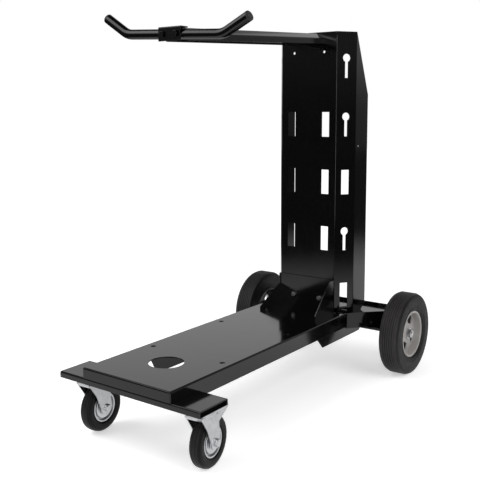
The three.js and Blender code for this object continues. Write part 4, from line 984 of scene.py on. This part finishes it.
@dataclass
class Studio:
    """Pale floor, white backdrop, dark room behind the camera, soft lamps and the photograph's camera."""

    eye: Colour = (1.2310, -1.7704, 0.8222)
    yaw: float = 36.17
    pitch: float = -6.63
    roll: float = -0.1
    lens: float = 57.32
    shift: float = -0.0867
    surround: float = 0.40
    backdrop: Colour = (-0.59, 0.81, 0.0)
    sweep: Colour = (0.10, 0.45, 0.0)

    def floor(self) -> None:
        """Lays a round floor: white to the camera, with the cart's shadow; in the gloss it glows as a painted pool of
        light, with painted shade under the cart, and dark far off.
        """
        mesh = bmesh.new()
        bmesh.ops.create_circle(mesh, cap_ends=True, radius=14.0, segments=96)
        data = bpy.data.meshes.new("floor")
        mesh.to_mesh(data)
        mesh.free()
        thing = bpy.data.objects.new("floor", data)
        bpy.context.scene.collection.objects.link(thing)
        made = bpy.data.materials.new("floor_look")
        made.use_nodes = True
        graph = Graph(made.node_tree)
        rays = graph.add("ShaderNodeLightPath")
        place = graph.add("ShaderNodeTexCoord").outputs["Object"]
        noise = graph.add("ShaderNodeTexNoise", Scale=1.3, Detail=3.0)
        shader = graph.add("ShaderNodeBsdfDiffuse")
        glow = graph.add("ShaderNodeEmission")
        lit = graph.add("ShaderNodeAddShader")
        pool = graph.add("ShaderNodeEmission", Strength=0.85)
        both = graph.add("ShaderNodeMixShader")
        output = graph.add("ShaderNodeOutputMaterial")
        graph.link(place, noise.inputs["Vector"])
        colour = graph.ramp(noise.outputs["Fac"], [(0.3, (0.93, 0.93, 0.93)), (0.7, (0.96, 0.96, 0.96))])
        graph.link(colour, shader.inputs["Color"])
        away = self.reach(graph, place)
        white = graph.ramp(away, [(0.25, (0.47, 0.47, 0.47)), (0.5, (0.72, 0.72, 0.72))])
        graph.link(white, glow.inputs["Color"])
        graph.link(rays.outputs["Is Camera Ray"], glow.inputs["Strength"])
        graph.link(shader.outputs["BSDF"], lit.inputs[0])
        graph.link(glow.outputs["Emission"], lit.inputs[1])
        # Painted shade and painted light for the gloss only: the floor glows dim under the cart, fully bright around
        # it, and fades to dark far off.
        graph.link(graph.ramp(away, [
            (0.0, (0.35, 0.35, 0.35)), (0.11, (1.0, 1.0, 1.0)), (0.27, (1.0, 1.0, 1.0)), (0.43, (0.05, 0.05, 0.05))]),
                   pool.inputs["Color"])
        graph.link(rays.outputs["Is Glossy Ray"], both.inputs["Fac"])
        graph.link(lit.outputs["Shader"], both.inputs[1])
        graph.link(pool.outputs["Emission"], both.inputs[2])
        graph.link(both.outputs["Shader"], output.inputs["Surface"])
        data.materials.append(made)

    def reach(self, graph: Graph, place: bpy.types.NodeSocket) -> bpy.types.NodeSocket:
        """Measures how far a floor point lies from the cart, less towards the backdrop's sweep.

        Args:
            graph: the floor's shader nodes.
            place: the floor point.

        Returns:
            The socket of the distance, where 1 stands for 4 m.
        """
        far = graph.add("ShaderNodeVectorMath")
        far.operation = "LENGTH"
        towards = graph.add("ShaderNodeVectorMath")
        towards.operation = "DOT_PRODUCT"
        towards.inputs[1].default_value = self.sweep
        behind = graph.add("ShaderNodeMath")
        behind.operation = "MAXIMUM"
        less = graph.add("ShaderNodeMath")
        less.operation = "SUBTRACT"
        share = graph.add("ShaderNodeMapRange", From_Max=4.0)
        graph.link(place, far.inputs[0])
        graph.link(place, towards.inputs[0])
        graph.link(towards.outputs["Value"], behind.inputs[0])
        behind.inputs[1].default_value = 0.0
        graph.link(far.outputs["Value"], less.inputs[0])
        graph.link(behind.outputs["Value"], less.inputs[1])
        graph.link(less.outputs["Value"], share.inputs["Value"])
        return share.outputs["Result"]

    def sky(self) -> None:
        """Surrounds the cart with soft light; the gloss shows a white backdrop, a dim room and a dark ceiling."""
        world = bpy.data.worlds.new("surround")
        bpy.context.scene.world = world
        world.use_nodes = True
        graph = Graph(world.node_tree)
        rays = graph.add("ShaderNodeLightPath")
        soft = graph.add("ShaderNodeBackground", Color=(1.0, 1.0, 1.0, 1.0), Strength=self.surround)
        white = graph.add("ShaderNodeBackground", Color=(1.0, 1.0, 1.0, 1.0), Strength=1.0)
        gloss = graph.add("ShaderNodeBackground", Strength=1.0)
        place = graph.add("ShaderNodeTexCoord")
        split = graph.add("ShaderNodeSeparateXYZ")
        facing = graph.add("ShaderNodeVectorMath")
        facing.operation = "DOT_PRODUCT"
        facing.inputs[1].default_value = self.backdrop
        share = graph.add("ShaderNodeMapRange", From_Min=-1.0, From_Max=1.0)
        room = graph.add("ShaderNodeVectorMath")
        room.operation = "MULTIPLY"
        first, second, third = (graph.add("ShaderNodeMixShader") for _ in range(3))
        output = graph.add("ShaderNodeOutputWorld")
        graph.link(place.outputs["Generated"], split.inputs["Vector"])
        graph.link(place.outputs["Generated"], facing.inputs[0])
        graph.link(facing.outputs["Value"], share.inputs["Value"])
        walls = graph.ramp(share.outputs["Result"], [
            (0.0, (0.26, 0.26, 0.26)), (0.34, (0.11, 0.11, 0.11)), (0.66, (0.34, 0.34, 0.34)), (0.86, (0.80, 0.80, 0.80))])
        ceiling = graph.ramp(split.outputs["Z"], [
            (0.0, (0.30, 0.30, 0.30)), (0.02, (0.42, 0.42, 0.42)), (0.07, (1.0, 1.0, 1.0)), (0.5, (1.0, 1.0, 1.0)),
            (0.7, (0.06, 0.06, 0.06))])
        graph.link(walls, room.inputs[0])
        graph.link(ceiling, room.inputs[1])
        graph.link(room.outputs["Vector"], gloss.inputs["Color"])
        graph.link(rays.outputs["Is Glossy Ray"], first.inputs["Fac"])
        graph.link(soft.outputs["Background"], first.inputs[1])
        graph.link(gloss.outputs["Background"], first.inputs[2])
        graph.link(rays.outputs["Is Transmission Ray"], second.inputs["Fac"])
        graph.link(first.outputs["Shader"], second.inputs[1])
        graph.link(white.outputs["Background"], second.inputs[2])
        graph.link(rays.outputs["Is Camera Ray"], third.inputs["Fac"])
        graph.link(second.outputs["Shader"], third.inputs[1])
        graph.link(white.outputs["Background"], third.inputs[2])
        graph.link(third.outputs["Shader"], output.inputs["Surface"])

    def camera(self) -> None:
        """Sets the camera at the photograph's place and angle."""
        data = bpy.data.cameras.new("camera")
        data.lens, data.sensor_width = self.lens, 36.0
        data.shift_y = self.shift
        data.clip_start, data.clip_end = 0.05, 60.0
        thing = bpy.data.objects.new("camera", data)
        thing.rotation_mode = "QUATERNION"
        level = Matrix.Rotation(math.radians(self.yaw), 4, "Z") @ Matrix.Rotation(math.radians(90 + self.pitch), 4, "X")
        turned_view = level @ Matrix.Rotation(math.radians(self.roll), 4, "Z")
        thing.location = self.eye
        thing.rotation_quaternion = turned_view.to_quaternion()
        bpy.context.scene.collection.objects.link(thing)
        bpy.context.scene.camera = thing

    def build(self) -> None:
        """Sets up the floor, the light and the camera."""
        self.floor()
        self.sky()
        lamps = (Lamp("key", (-2.07, -2.38, 2.86), (0.0, 0.0, 0.5), (3.2, 2.9), 60.0),
                 Lamp("softbox", (-0.93, -1.26, 1.98), (0.0, -0.3, 1.05), (1.3, 1.2), 11.0, in_gloss=True),
                 Lamp("fill", (2.8, -0.4, 2.2), (0.0, 0.1, 0.4), (2.0, 2.0), 44.0),
                 Lamp("strip", (1.76, -2.64, 1.1), (0.0, 0.27, 1.1), (0.5, 2.2), 16.0, in_gloss=True))
        for lamp in lamps:
            lamp.build()
        self.camera()
        bpy.context.scene.view_settings.view_transform = "Standard"


def main() -> None:
    """Builds and dresses each assembly in turn, then the studio."""
    logging.basicConfig(level=logging.INFO, format="%(name)s: %(message)s")
    palette = Palette()
    assemblies: list[Assembly] = [SheetFrame(), Handle(), Fasteners(), RearAxle()]
    for side in Side:
        assemblies += [RearWheel(side=side), Caster(side=side)]
    for assembly in assemblies:
        assembly.build()
        assembly.dress(palette)
    Studio().build()


if __name__ == "__main__":
    main()
